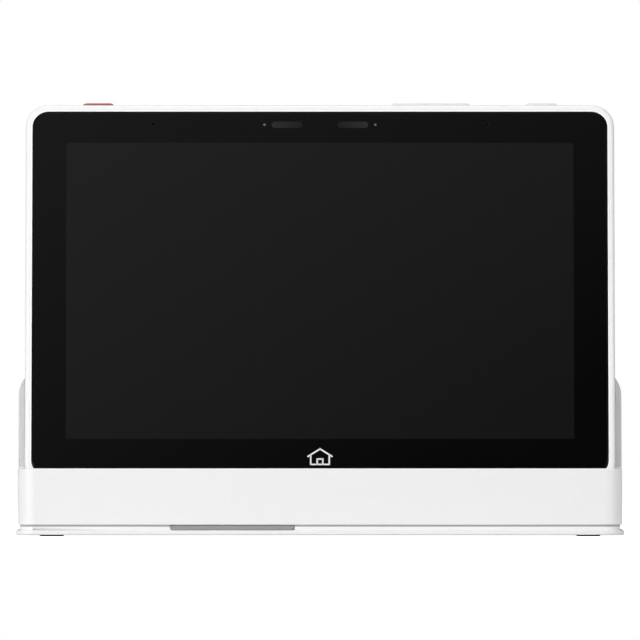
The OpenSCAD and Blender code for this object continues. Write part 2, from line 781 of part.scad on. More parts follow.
module foot(x, y) color([0.25, 0.25, 0.26])
    translate([x * foot_x, y * foot_y, 0]) cylinder(r = foot_r, h = flange_z + 0.8);

module release_latch() color("gray") difference() {
    union() {
        translate([latch_x, 0, neck_z + 0.1]) slab(latch_y, 3.5)
            latch_front_2d(latch_w, latch_h, 0.5);
        box([latch_x - latch_w / 2, latch_x + latch_w / 2],
            [latch_y + 3.4, latch_y + latch_d], [neck_z + 0.1, neck_z + 0.1 + latch_h]);
        box([latch_x - 16.6, latch_x + 16.6],
            [latch_y + 3.4, latch_y + latch_d], [neck_z - 0.6, neck_z + 0.2]);
        // tooth that passes up through the chassis and hooks forward over it
        box([latch_x - 8, latch_x + 8], [-31, -29.4], [neck_z + 1, deck_z + 1.4]);
        box([latch_x - 8, latch_x + 8], [-32, -31 + eps], [deck_z + 0.1, deck_z + 1.4]);
    }
}

module latch_springs() color("silver")
    for (x = [-1, 1]) translate([latch_x + x * spring_x, latch_y + latch_d + spring_wire + 0.05,
                                 neck_z + 0.45])
        rotate([-90, 0, 0]) coil(spring_r, spring_wire, spring_len - 2 * spring_wire - 0.1, 6);

// ---------------------------------------------------------------- inside the dock

module ballast_plates() color("slategray") difference() {
    for (x = [-1, 1])
        box([x * ballast_x - ballast_w / 2, x * ballast_x + ballast_w / 2], ballast_y,
            [deck_z + ballast_lift, deck_z + ballast_lift + ballast_t]);
    for (p = ballast_holes) translate([p[0], p[1], 0]) cylinder(r = 2.8, h = 20);
    for (x = [-1, 1]) box([x * hook_x - 4.5, x * hook_x + 4.5], [hook_y - 4, hook_y + 4], [0, 20]);
}

module ballast_screws() color("dimgray")
    for (p = ballast_holes) translate([p[0], p[1], deck_z + ballast_lift + ballast_t])
        screw(3.6, 1, screw_r, ballast_lift + ballast_t);

module chassis_screws() color("dimgray")
    for (p = post_holes) translate([p[0], p[1], dock_z + 0.05 + post_screw_head_h])
        rotate([180, 0, 0]) screw(post_screw_head_r, post_screw_head_h, post_screw_r, 5);

module dock_board() color("darkgreen") difference() {
    translate([0, dock_board_y, dock_board_z]) linear_extrude(dock_board_t)
        plan_2d(dock_board_w, dock_board_d, 1.5);
    for (p = dock_board_holes) translate([p[0], p[1], 0]) cylinder(r = 0.9, h = 20);
}

module dock_board_chips() color([0.1, 0.1, 0.1]) {
    z = dock_board_z + dock_board_t;
    box([8, 14], [19, 25], [z, z + 1.2]);
    box([-14, -8], [20, 26], [z, z + 2.6]);
    box([-4, 4], [13.4, 16], [z, z + 1.6]);
}

module dock_board_screws() color("dimgray")
    for (p = dock_board_holes) translate([p[0], p[1], dock_board_z + dock_board_t])
        screw(screw_head_r, screw_head_h, screw_r, 2.4);

module usb_socket() color("silver") translate([0, 0, usb_z]) difference() {
    slab(usb_front, 7.3) stadium_2d(usb_w, usb_h);
    difference() {
        slab(usb_front + 1.2, far) stadium_2d(usb_w - 2 * usb_wall, usb_h - 2 * usb_wall);
        box([-3, 3], [usb_front, 36.6], [-0.35, 0.35]);
    }
}

module pogo_block() color([0.12, 0.12, 0.12]) in_tablet() difference() {
    union() {
        box([-pogo_block_w / 2, pogo_block_w / 2], [contact_y - 2.6, contact_y + 2.6],
            [-8, -floor_gap - floor_t]);
        box([0.2 - pogo_well_w / 2, pogo_well_w / 2 - 0.2], [contact_y - 2, contact_y + 2],
            [-floor_gap - floor_t - eps, -floor_gap]);
    }
    for (x = contact_xs) translate([x, contact_y, pogo_chamber_z]) {
        cylinder(r = 1.1, h = 4 + pogo_travel);
        cylinder(r = pogo_r + 0.05, h = 9);
    }
}

module pogo_pins() color("gold") in_tablet()
    for (x = contact_xs) translate([x, contact_y, 0]) {
        translate([0, 0, pogo_collar_z]) cylinder(r = pogo_collar_r, h = 0.8);
        translate([0, 0, pogo_collar_z]) cylinder(r = pogo_r, h = pogo_tip - pogo_collar_z);
    }

module pogo_springs() color("silver") in_tablet()
    for (x = contact_xs) translate([x, contact_y, pogo_chamber_z + pogo_wire + 0.02])
        coil(pogo_coil_r, pogo_wire, pogo_collar_z - pogo_chamber_z - 2 * pogo_wire - 0.06, 5, 12, 5);

// The flat cable from the pins to the board, in side view.
module pogo_flex() color("orange") prism_x(ribbon_w) {
    top = dock_board_z + dock_board_t;
    translate([ribbon_y[0], ribbon_z]) square([ribbon_y[1] - ribbon_y[0], ribbon_t]);
    translate([ribbon_y[0], ribbon_z]) square([ribbon_t, 2.1]);
    translate([ribbon_y[1] - ribbon_t, ribbon_z]) square([ribbon_t, top + ribbon_t - ribbon_z]);
    translate([ribbon_y[1] - ribbon_t, top]) square([1.45, ribbon_t]);
}

module dock_magnets() color("silver") in_tablet()
    for (x = [-1, 1])
        box([x * magnet_x - magnet_w / 2, x * magnet_x + magnet_w / 2],
            [tablet_t + back_gap + rest_t, tablet_t + back_gap + rest_t + magnet_t], magnet_z);

module cradle_pads() color([0.3, 0.3, 0.31]) in_tablet()
    for (x = [-1, 1])
        box([x * rubber_x - rubber_w / 2, x * rubber_x + rubber_w / 2], [4, 14], [-floor_gap, -0.1]);

module backrest_pads() color([0.3, 0.3, 0.31]) in_tablet()
    for (x = [-1, 1]) translate([x * rubber_x, 0, 30])
        slab(tablet_t + 0.1, back_gap - 0.1) stadium_2d(rubber_w, 6);

// ---------------------------------------------------------------- nodes

tablet_frame();
tablet_back_cover();
cover_glass();
glass_gasket();
lcd_panel();
mid_plate();
mid_plate_screws();
main_board();
board_shields();
board_chips();
board_screws();
battery_pack();
battery_lead();
display_flex();
speaker_left();
speaker_right();
camera_module();
face_sensor();
microphones();
alarm_switch_board();
key_switch_board();
key_switches();
rocker_bracket();
rocker_pin();
contact_carrier();
contact_pads();
tablet_magnets();
alarm_key();
volume_rocker();
power_key();
cradle_shell();
rear_shell();
dock_chassis();
base_plate();
foot(-1, -1);  // foot_front_left
foot(1, -1);  // foot_front_right
foot(-1, 1);  // foot_rear_left
foot(1, 1);  // foot_rear_right
ballast_plates();
ballast_screws();
chassis_screws();
dock_board();
dock_board_chips();
dock_board_screws();
usb_socket();
pogo_block();
pogo_pins();
pogo_springs();
pogo_flex();
dock_magnets();
cradle_pads();
backrest_pads();
release_latch();
latch_springs();
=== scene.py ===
"""A smart home hub: a touch-screen tablet that leans back in its charging dock."""

import json
import math

import bmesh
import bpy
from bpy.props import FloatProperty, FloatVectorProperty, IntProperty, PointerProperty
from bpy.types import Operator, Panel, PropertyGroup
from mathutils import Matrix, Vector


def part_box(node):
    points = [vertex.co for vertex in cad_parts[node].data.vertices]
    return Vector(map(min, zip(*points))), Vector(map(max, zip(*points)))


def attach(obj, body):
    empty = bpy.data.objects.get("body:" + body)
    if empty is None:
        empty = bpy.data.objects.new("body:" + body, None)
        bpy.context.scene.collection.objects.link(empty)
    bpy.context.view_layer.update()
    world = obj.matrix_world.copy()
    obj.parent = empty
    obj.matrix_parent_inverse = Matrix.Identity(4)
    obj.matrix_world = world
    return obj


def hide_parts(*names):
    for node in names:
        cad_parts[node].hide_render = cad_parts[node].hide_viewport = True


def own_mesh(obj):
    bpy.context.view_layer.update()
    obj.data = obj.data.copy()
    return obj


bl_info = {
    "name": "Smart Home Hub",
    "version": (1, 0, 0),
    "blender": (4, 5, 0),
    "location": "View3D > Sidebar > Home Hub",
    "description": "Builds the housings, screen, keys, dock and studio of a smart home hub",
    "category": "Object",
}

MM = 0.001
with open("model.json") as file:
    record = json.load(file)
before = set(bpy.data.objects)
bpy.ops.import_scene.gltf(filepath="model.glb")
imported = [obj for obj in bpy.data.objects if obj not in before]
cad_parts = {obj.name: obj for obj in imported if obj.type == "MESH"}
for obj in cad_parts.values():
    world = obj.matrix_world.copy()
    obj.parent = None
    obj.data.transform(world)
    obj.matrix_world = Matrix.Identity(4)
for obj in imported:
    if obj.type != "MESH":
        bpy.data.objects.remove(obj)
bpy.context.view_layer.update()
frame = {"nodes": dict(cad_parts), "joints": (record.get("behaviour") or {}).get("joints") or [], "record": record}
nodes = frame["nodes"]

# ---------------------------------------------------------------- the tablet's own directions
# The tablet leans back about the X axis. "Leaned" space is the row frame turned so that the
# screen stands upright: X across, Y into the tablet, Z up along its face.
lift = next(j for j in frame["joints"] if j["name"] == "tablet_lift_off")
LEAN = math.atan2(lift["axis"][1], lift["axis"][2])
TILT = Matrix.Rotation(-LEAN, 4, "X")
UNTILT = TILT.inverted()


def leaned_box(node):
    """Lowest and highest corner of a node in leaned space."""
    turned = [UNTILT @ v.co for v in nodes[node].data.vertices]
    return (Vector(min(p[i] for p in turned) for i in range(3)),
            Vector(max(p[i] for p in turned) for i in range(3)))


GLASS_LOW, GLASS_HIGH = leaned_box("cover_glass")
PANEL_LOW, PANEL_HIGH = leaned_box("lcd_panel")
SENSOR_Z = sum(p.z for p in leaned_box("microphones")) / 2
LIP_TOP = max(v.co.z for v in nodes["cradle_shell"].data.vertices
              if v.co.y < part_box("cradle_shell")[0].y + 0.5 * MM)

# ---------------------------------------------------------------- properties


def length(name, description, default):
    return FloatProperty(name=name, description=description, default=default, min=0.0,
                         unit="LENGTH", precision=5)


def number(name, description, default, **limits):
    return FloatProperty(name=name, description=description, default=default, **limits)


def colour(name, description, default):
    return FloatVectorProperty(name=name, description=description, default=default, size=3,
                               min=0.0, max=1.0, subtype="COLOR")


class HUB_PG_sizes(PropertyGroup):
    """Sizes of the small features that the frame leaves out."""

    housing_edge: length("Housing edge", "Radius of the tablet housing's small edges", 0.22 * MM)
    glass_edge: length("Glass edge", "Radius round the front of the cover glass", 0.1 * MM)
    # The trim round the glass carries a painted highlight
    trim_width: length("Trim width", "Width of the bright trim round the glass", 0.44 * MM)
    trim_proud: length("Trim height", "Height of that trim above the rim", 0.04 * MM)
    key_edge: length("Key edge", "Radius round the keys' crowns", 0.35 * MM)
    shell_edge: length("Dock edge", "Radius of the dock shells' edges", 0.35 * MM)
    # The seam strip is painted shade: a grey strip for the shadow line under the dock shells
    seam_height: length("Seam height", "Height of the sealing strip under the dock shells",
                        0.62 * MM)
    plate_edge: length("Base plate edge", "Radius of the base plate's flange", 0.4 * MM)
    small_edge: length("Fitting edge", "Radius of the edges of small fittings", 0.12 * MM)
    mark_height: length("Mark height", "Height of the house mark under the screen", 5.6 * MM)
    mark_line: length("Mark line", "Thickness of the lines of the house mark", 0.55 * MM)
    grain: length("Grain", "Size of the fine grain of moulded plastic", 0.22 * MM)
    turn_steps: IntProperty(name="Turn steps", description="Flats in a full turn of a foot",
                            default=48, min=12)


class HUB_PG_colours(PropertyGroup):
    """Colours of the visible finishes."""

    shell_white: colour("Housing white", "Tablet and dock housings", (0.86, 0.86, 0.868))
    key_white: colour("Key white", "Volume rocker and power key", (0.77, 0.77, 0.775))
    # Painted shade: the grey of the strip that stands for the shadow line under the dock shells
    seam_grey: colour("Seam grey", "Sealing strip under the shells", (0.42, 0.42, 0.425))
    # Painted shade: how far the pocket and the wings' faces are darkened to stand for the tablet's shadow
    pocket_shade_tone: number("Liner tone", "Tone of the wings' faces and the pocket", 0.74, min=0.0, max=1.0)
    # Painted highlight: the trim is made brighter than the housing to stand for the light its edge catches round
    # the glass
    trim_white: colour("Trim white", "Trim round the glass", (0.97, 0.97, 0.97))
    alarm_red: colour("Alarm red", "Alarm key", (0.41, 0.1, 0.108))
    glass_black: colour("Glass black", "Printed border behind the cover glass",
                        (0.0022, 0.0022, 0.0024))
    screen_black: colour("Screen black", "Lit area when it is switched off",
                         (0.0078, 0.0078, 0.0082))
    latch_grey: colour("Latch grey", "Release latch", (0.31, 0.31, 0.316))
    rubber_grey: colour("Rubber grey", "Feet and pads", (0.06, 0.06, 0.062))


class HUB_PG_studio(PropertyGroup):
    """Camera and lights."""

    lens: number("Lens", "Focal length in millimetres", 1500.0, min=50.0, max=1600.0)
    distance: length("Camera distance", "From the camera to the middle of the hub", 9.0565)
    eye_height: length("Eye height", "Height of the camera above the table", 73.2 * MM)
    key_power: number("Key light", "Power of the light at the left", 25.0, min=0.0, unit="POWER")
    fill_power: number("Fill light", "Power of the light at the right", 15.7, min=0.0,
                       unit="POWER")
    top_power: number("Top light", "Power of the light overhead", 9.5, min=0.0, unit="POWER")
    ambient: number("Ambient", "Brightness of the room", 0.03, min=0.0)


def sizes():
    return bpy.context.scene.hub_sizes


def colours():
    return bpy.context.scene.hub_colours


def studio():
    return bpy.context.scene.hub_studio


# ---------------------------------------------------------------- shader helpers


class Tree:
    """Short ways to lay nodes in one node tree."""

    def __init__(self, tree):
        self.tree = tree

    def add(self, kind, **values):
        node = self.tree.nodes.new(kind)
        for name, value in values.items():
            setattr(node, name, value)
        return node

    def put(self, socket, value):
        """Links value if it is a socket, or sets it if it is a plain value."""
        if isinstance(value, bpy.types.NodeSocket):
            self.tree.links.new(value, socket)
        else:
            socket.default_value = value

    def fill(self, node, **values):
        """Fills a node's inputs. They are named with underscores for spaces."""
        for name, value in values.items():
            self.put(node.inputs[name.replace("_", " ")], value)

    def math(self, operation, a, b=0.0, c=0.0, clamp=False):
        node = self.add("ShaderNodeMath", operation=operation, use_clamp=clamp)
        for socket, value in zip(node.inputs, (a, b, c)):
            self.put(socket, value)
        return node.outputs[0]

    def blend(self, factor, a, b, kind="MIX"):
        """Mixes two colours."""
        node = self.add("ShaderNodeMix", data_type="RGBA", blend_type=kind)
        self.put(node.inputs["Factor"], factor)
        self.put(node.inputs[6], a)
        self.put(node.inputs[7], b)
        return node.outputs[2]

    def scale(self, value, low, high, to_low, to_high, smooth=False):
        """Maps value from one range to another."""
        node = self.add("ShaderNodeMapRange",
                        interpolation_type="SMOOTHSTEP" if smooth else "LINEAR")
        self.fill(node, Value=value, From_Min=low, From_Max=high, To_Min=to_low, To_Max=to_high)
        return node.outputs["Result"]

    def noise(self, vector, scale, detail=2.0, roughness=0.5):
        node = self.add("ShaderNodeTexNoise")
        self.fill(node, Vector=vector, Scale=scale, Detail=detail, Roughness=roughness)
        return node.outputs["Fac"]

    def bands(self, vector, scale, low, high):
        """Straight stripes across X, with soft edges."""
        node = self.add("ShaderNodeTexWave", wave_type="BANDS", bands_direction="X")
        self.fill(node, Vector=vector, Scale=scale)
        return self.scale(node.outputs["Fac"], low, high, 0.0, 1.0)

    def split(self, vector):
        """The X, Y and Z of a vector."""
        node = self.add("ShaderNodeSeparateXYZ")
        self.put(node.inputs[0], vector)
        return node.outputs

    def place(self, vector, rotation=(0, 0, 0), scale=(1, 1, 1), kind="POINT"):
        """Turns and stretches coordinates."""
        node = self.add("ShaderNodeMapping", vector_type=kind)
        self.fill(node, Vector=vector, Rotation=rotation, Scale=scale)
        return node.outputs["Vector"]

    def group(self, name, **values):
        """Places a shared effect."""
        node = self.add("ShaderNodeGroup", node_tree=bpy.data.node_groups[name])
        self.fill(node, **{socket.capitalize(): value for socket, value in values.items()})
        return node.outputs


def rgba(rgb):
    return (*rgb, 1.0)


def new_effect(name, inputs, outputs):
    """Starts a shared effect: a node group with named sockets. Returns its tree and two nodes."""
    group = bpy.data.node_groups.new(name, "ShaderNodeTree")
    for socket, kind, default in inputs:
        made = group.interface.new_socket(socket, in_out="INPUT", socket_type=kind)
        if default is not None:
            made.default_value = default
    for socket, kind in outputs:
        group.interface.new_socket(socket, in_out="OUTPUT", socket_type=kind)
    tree = Tree(group)
    return tree, tree.add("NodeGroupInput").outputs, tree.add("NodeGroupOutput").inputs


VECTOR, FLOAT = "NodeSocketVector", "NodeSocketFloat"


def make_grain_effect():
    """The fine sparked surface of moulded plastic, with broad faint patches in its gloss."""
    tree, given, out = new_effect(
        "Moulded grain",
        [("Vector", VECTOR, None), ("Grain", FLOAT, 0.00022), ("Depth", FLOAT, 0.000006),
         ("Roughness", FLOAT, 0.4), ("Patches", FLOAT, 0.05)],
        [("Height", FLOAT), ("Roughness", FLOAT), ("Tone", FLOAT)])
    per_metre = tree.math("DIVIDE", 1.0, given["Grain"])
    fine = tree.noise(given["Vector"], per_metre, 3.0, 0.6)
    coarse = tree.noise(given["Vector"], tree.math("MULTIPLY", per_metre, 0.21), 2.0)
    mixed = tree.math("MULTIPLY_ADD", coarse, 0.45, tree.math("MULTIPLY", fine, 0.55))
    patches = tree.noise(given["Vector"], 34.0, 3.0)
    swing = tree.math("MULTIPLY", tree.math("SUBTRACT", patches, 0.5), given["Patches"])
    tree.put(out["Height"], tree.math("MULTIPLY", mixed, given["Depth"]))
    tree.put(out["Roughness"], tree.math("ADD", given["Roughness"], swing, clamp=True))
    tree.put(out["Tone"], tree.scale(tree.math("ADD", mixed, swing), 0.3, 0.7, 0.0, 1.0))


def make_brushed_effect():
    """Fine lines drawn along X, as on rolled and brushed metal."""
    tree, given, out = new_effect(
        "Brushed lines",
        [("Vector", VECTOR, None), ("Depth", FLOAT, 0.000004), ("Roughness", FLOAT, 0.3)],
        [("Height", FLOAT), ("Roughness", FLOAT), ("Tone", FLOAT)])
    drawn = tree.place(given["Vector"], scale=(60.0, 4200.0, 4200.0))
    lines = tree.noise(drawn, 1.0, 4.0, 0.7)
    cloud = tree.noise(given["Vector"], 90.0, 2.0)
    tree.put(out["Height"], tree.math("MULTIPLY", lines, given["Depth"]))
    rough = tree.math("MULTIPLY_ADD", tree.math("SUBTRACT", lines, 0.5), 0.16, given["Roughness"])
    tree.put(out["Roughness"], tree.math("MULTIPLY_ADD", cloud, 0.06, rough, clamp=True))
    tree.put(out["Tone"], tree.scale(lines, 0.25, 0.75, 0.0, 1.0))


def make_window_effect():
    """A mask of a rectangle with round corners, facing along Y."""
    tree, given, out = new_effect(
        "Window mask",
        [("Vector", VECTOR, None), ("Middle x", FLOAT, 0.0), ("Middle z", FLOAT, 0.0),
         ("Half width", FLOAT, 0.01), ("Half height", FLOAT, 0.01), ("Corner", FLOAT, 0.001),
         ("Softness", FLOAT, 0.0001)],
        [("Mask", FLOAT)])
    across = tree.split(given["Vector"])
    beyond = []
    for axis, middle, half in ((0, "Middle x", "Half width"), (2, "Middle z", "Half height")):
        offset = tree.math("ABSOLUTE", tree.math("SUBTRACT", across[axis], given[middle]))
        flat = tree.math("SUBTRACT", given[half], given["Corner"])
        beyond.append(tree.math("SUBTRACT", offset, flat))
    outside = [tree.math("MAXIMUM", side, 0.0) for side in beyond]
    corner = tree.math("SQRT", tree.math("ADD", tree.math("POWER", outside[0], 2.0),
                                         tree.math("POWER", outside[1], 2.0)))
    inner = tree.math("MINIMUM", tree.math("MAXIMUM", beyond[0], beyond[1]), 0.0)
    distance = tree.math("SUBTRACT", tree.math("ADD", corner, inner), given["Corner"])
    edge = tree.math("DIVIDE", distance, given["Softness"])
    tree.put(out["Mask"], tree.math("SUBTRACT", 0.5, edge, clamp=True))


def make_board_effect():
    """Copper tracks under solder mask: straight runs in two directions with round pads."""
    tree, given, out = new_effect(
        "Board tracks", [("Vector", VECTOR, None)], [("Tracks", FLOAT), ("Pads", FLOAT)])
    masks = []
    for turn, pitch in ((0.0, 620.0), (math.radians(90), 480.0)):
        lines = tree.bands(tree.place(given["Vector"], rotation=(0, turn, turn)), pitch,
                           0.55, 0.65)
        area = tree.scale(tree.noise(given["Vector"], 70.0 + pitch / 8, 0.0), 0.5, 0.52, 0.0, 1.0)
        masks.append(tree.math("MULTIPLY", lines, area))
    cells = tree.add("ShaderNodeTexVoronoi", feature="F1")
    tree.fill(cells, Vector=given["Vector"], Scale=420.0)
    pads = tree.scale(cells.outputs["Distance"], 0.16, 0.2, 1.0, 0.0)
    tree.put(out["Tracks"], tree.math("MAXIMUM", masks[0], masks[1]))
    tree.put(out["Pads"], pads)


# ---------------------------------------------------------------- materials


def start_material(name, metallic=0.0, coat=0.0):
    """A new material. Returns it, its tree, its shader and its object coordinates."""
    made = bpy.data.materials.new(name)
    made.use_nodes = True
    made.node_tree.nodes.clear()
    tree = Tree(made.node_tree)
    shader = tree.add("ShaderNodeBsdfPrincipled")
    result = tree.add("ShaderNodeOutputMaterial")
    tree.put(result.inputs["Surface"], shader.outputs["BSDF"])
    tree.fill(shader, Metallic=metallic, Coat_Weight=coat, IOR=1.5)
    return made, tree, shader, tree.add("ShaderNodeTexCoord").outputs["Object"]


def raise_surface(tree, shader, height):
    """Feeds a height in metres to the shader's normal."""
    bump = tree.add("ShaderNodeBump")
    tree.fill(bump, Strength=1.0, Distance=1.0, Height=height)
    tree.put(shader.inputs["Normal"], bump.outputs["Normal"])


def plastic(name, rgb, roughness, grain=None, depth=0.000004, patches=0.06, contrast=0.03,
            gloss=0.5, shade=None):
    """Moulded plastic or rubber with a fine grain. A painted shade, when given, darkens it from place to place."""
    made, tree, shader, where = start_material(name)
    effect = tree.group("Moulded grain", vector=where, grain=grain or sizes().grain, depth=depth,
                        roughness=roughness, patches=patches)
    dark = [c * (1 - contrast) for c in rgb]
    light = [min(1.0, c * (1 + contrast)) for c in rgb]
    tone = tree.blend(effect["Tone"], rgba(dark), rgba(light))
    if shade:
        tone = tree.blend(1.0, tone, shade(tree, where), kind="MULTIPLY")
    tree.fill(shader, Base_Color=tone, Roughness=effect["Roughness"], Specular_IOR_Level=gloss)
    raise_surface(tree, shader, effect["Height"])
    return made


def pocket_shade(tree, where):
    """Painted shade: greyer inside the tablet's pocket and on the wings' front faces, above the lip, where the
    tablet shadows them.
    """
    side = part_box("cradle_shell")[1].x
    edge = 0.3 * MM
    across, _, up = tree.split(where)
    above = tree.scale(up, LIP_TOP + edge, LIP_TOP + 2 * edge, 0.0, 1.0)
    inside = tree.scale(tree.math("ABSOLUTE", across), side - edge, side - edge / 3, 1.0, 0.0)
    in_shade = tree.math("MULTIPLY", above, inside)
    return tree.scale(in_shade, 0.0, 1.0, 1.0, colours().pocket_shade_tone)


def metal(name, rgb, roughness, contrast=0.1):
    """Rolled, drawn or plated metal with fine lines."""
    made, tree, shader, where = start_material(name, metallic=1.0)
    effect = tree.group("Brushed lines", vector=where, depth=0.000003, roughness=roughness)
    dark = [c * (1 - contrast) for c in rgb]
    tree.fill(shader, Base_Color=tree.blend(effect["Tone"], rgba(dark), rgba(rgb)),
              Roughness=effect["Roughness"])
    raise_surface(tree, shader, effect["Height"])
    return made


def leaned(tree, where):
    """Object coordinates turned to leaned space."""
    return tree.place(where, rotation=(-LEAN, 0, 0), kind="TEXTURE")


# The two sensor windows behind the glass: middle, half width and height, tint
SENSOR_WINDOW_X = 11.2 * MM
SENSOR_WINDOW_HALF = (5.2 * MM, 1.15 * MM)
SENSOR_WINDOW_TINT = (0.022, 0.022, 0.024)
# How far the lit area stays inside the edges of the screen panel
LIT_MARGIN_SIDE = 5.4 * MM
LIT_MARGIN_FOOT = 4.5 * MM
LIT_MARGIN_HEAD = 1.5 * MM


def printed_glass():
    """Cover glass printed black behind, clear over the screen, with two dim sensor windows."""
    made, tree, shader, where = start_material("printed_glass")
    flat = leaned(tree, where)
    low, high = PANEL_LOW, PANEL_HIGH
    lit = tree.group("Window mask", vector=flat, middle_x=(low.x + high.x) / 2,
                     middle_z=(low.z + LIT_MARGIN_FOOT + high.z - LIT_MARGIN_HEAD) / 2,
                     half_width=(high.x - low.x) / 2 - LIT_MARGIN_SIDE,
                     half_height=(high.z - low.z - LIT_MARGIN_FOOT - LIT_MARGIN_HEAD) / 2,
                     corner=0.2 * MM, softness=0.12 * MM)["Mask"]
    look = colours()
    shade = tree.blend(lit, rgba(look.glass_black), rgba(look.screen_black))
    across = tree.split(flat)[0]
    for side in (-1, 1):
        window = tree.group("Window mask", vector=flat, middle_x=side * SENSOR_WINDOW_X,
                            middle_z=SENSOR_Z, half_width=SENSOR_WINDOW_HALF[0],
                            half_height=SENSOR_WINDOW_HALF[1], corner=SENSOR_WINDOW_HALF[1] * 0.96,
                            softness=0.25 * MM)["Mask"]
        reach = tree.scale(tree.math("MULTIPLY", across, float(side)),
                           SENSOR_WINDOW_X - SENSOR_WINDOW_HALF[0],
                           SENSOR_WINDOW_X + SENSOR_WINDOW_HALF[0], 0.35, 1.0)
        shade = tree.blend(tree.math("MULTIPLY", window, reach), shade,
                           rgba(SENSOR_WINDOW_TINT))
    smudge = tree.noise(flat, 22.0, 4.0, 0.62)
    fine = tree.noise(flat, 900.0, 2.0)
    haze = tree.scale(smudge, 0.42, 0.78, 0.045, 0.11, smooth=True)
    tree.fill(shader, Base_Color=shade, Roughness=tree.math("MULTIPLY_ADD", fine, 0.02, haze))
    ripple = tree.noise(flat, 16.0, 1.0)
    raise_surface(tree, shader, tree.math("MULTIPLY", ripple, 0.000004))
    return made


def circuit_board():
    """Green solder mask over tracks, with tinned pads."""
    made, tree, shader, where = start_material("circuit_board", coat=0.3)
    tracks = tree.group("Board tracks", vector=where)
    shade = tree.blend(tracks["Tracks"], rgba((0.008, 0.070, 0.028)), rgba((0.020, 0.135, 0.055)))
    tree.fill(shader, Base_Color=tree.blend(tracks["Pads"], shade, rgba((0.62, 0.58, 0.46))),
              Metallic=tracks["Pads"],
              Roughness=tree.scale(tracks["Tracks"], 0.0, 1.0, 0.42, 0.32))
    raise_surface(tree, shader, tree.math("MULTIPLY", tracks["Tracks"], 0.00003))
    return made


def flat_cable():
    """Amber film with copper lines under it."""
    made, tree, shader, where = start_material("flat_cable", coat=0.4)
    lines = tree.bands(where, 320.0, 0.45, 0.6)
    tree.fill(shader,
              Base_Color=tree.blend(lines, rgba((0.34, 0.12, 0.015)), rgba((0.62, 0.27, 0.06))),
              Roughness=tree.scale(lines, 0.0, 1.0, 0.36, 0.28))
    raise_surface(tree, shader, tree.math("MULTIPLY", lines, 0.00002))
    return made


def dark_screen():
    """The switched-off screen panel, with the faint grid of its cells."""
    made, tree, shader, where = start_material("dark_screen", coat=0.6)
    flat = leaned(tree, where)
    cells = tree.add("ShaderNodeTexChecker")
    tree.fill(cells, Vector=flat, Scale=7000.0)
    tree.fill(shader, Base_Color=tree.blend(cells.outputs["Fac"], rgba((0.010, 0.010, 0.012)),
                                            rgba((0.016, 0.016, 0.018))),
              Roughness=tree.scale(tree.noise(flat, 60.0), 0.0, 1.0, 0.22, 0.3))
    return made


def battery_foil():
    """Dark laminated foil with soft creases."""
    made, tree, shader, where = start_material("battery_foil", metallic=0.35)
    creases = tree.noise(tree.place(where, scale=(1.0, 1.0, 2.4)), 85.0, 5.0, 0.6)
    tree.fill(shader,
              Base_Color=tree.blend(creases, rgba((0.10, 0.105, 0.12)), rgba((0.24, 0.25, 0.27))),
              Roughness=tree.scale(creases, 0.3, 0.7, 0.3, 0.48))
    raise_surface(tree, shader, tree.math("MULTIPLY", creases, 0.00025))
    return made


# Finishes of pieces whose slot holds another finish too. Each paints light or shade: a highlight on the glass
# trim, a shadow line under the dock shells, shade in the dock's pocket
TRIM_HIGHLIGHT = "trim_white"
SEAM_SHADE = "seam_grey"
POCKET_SHADE_FINISH = "dock_white_lined"


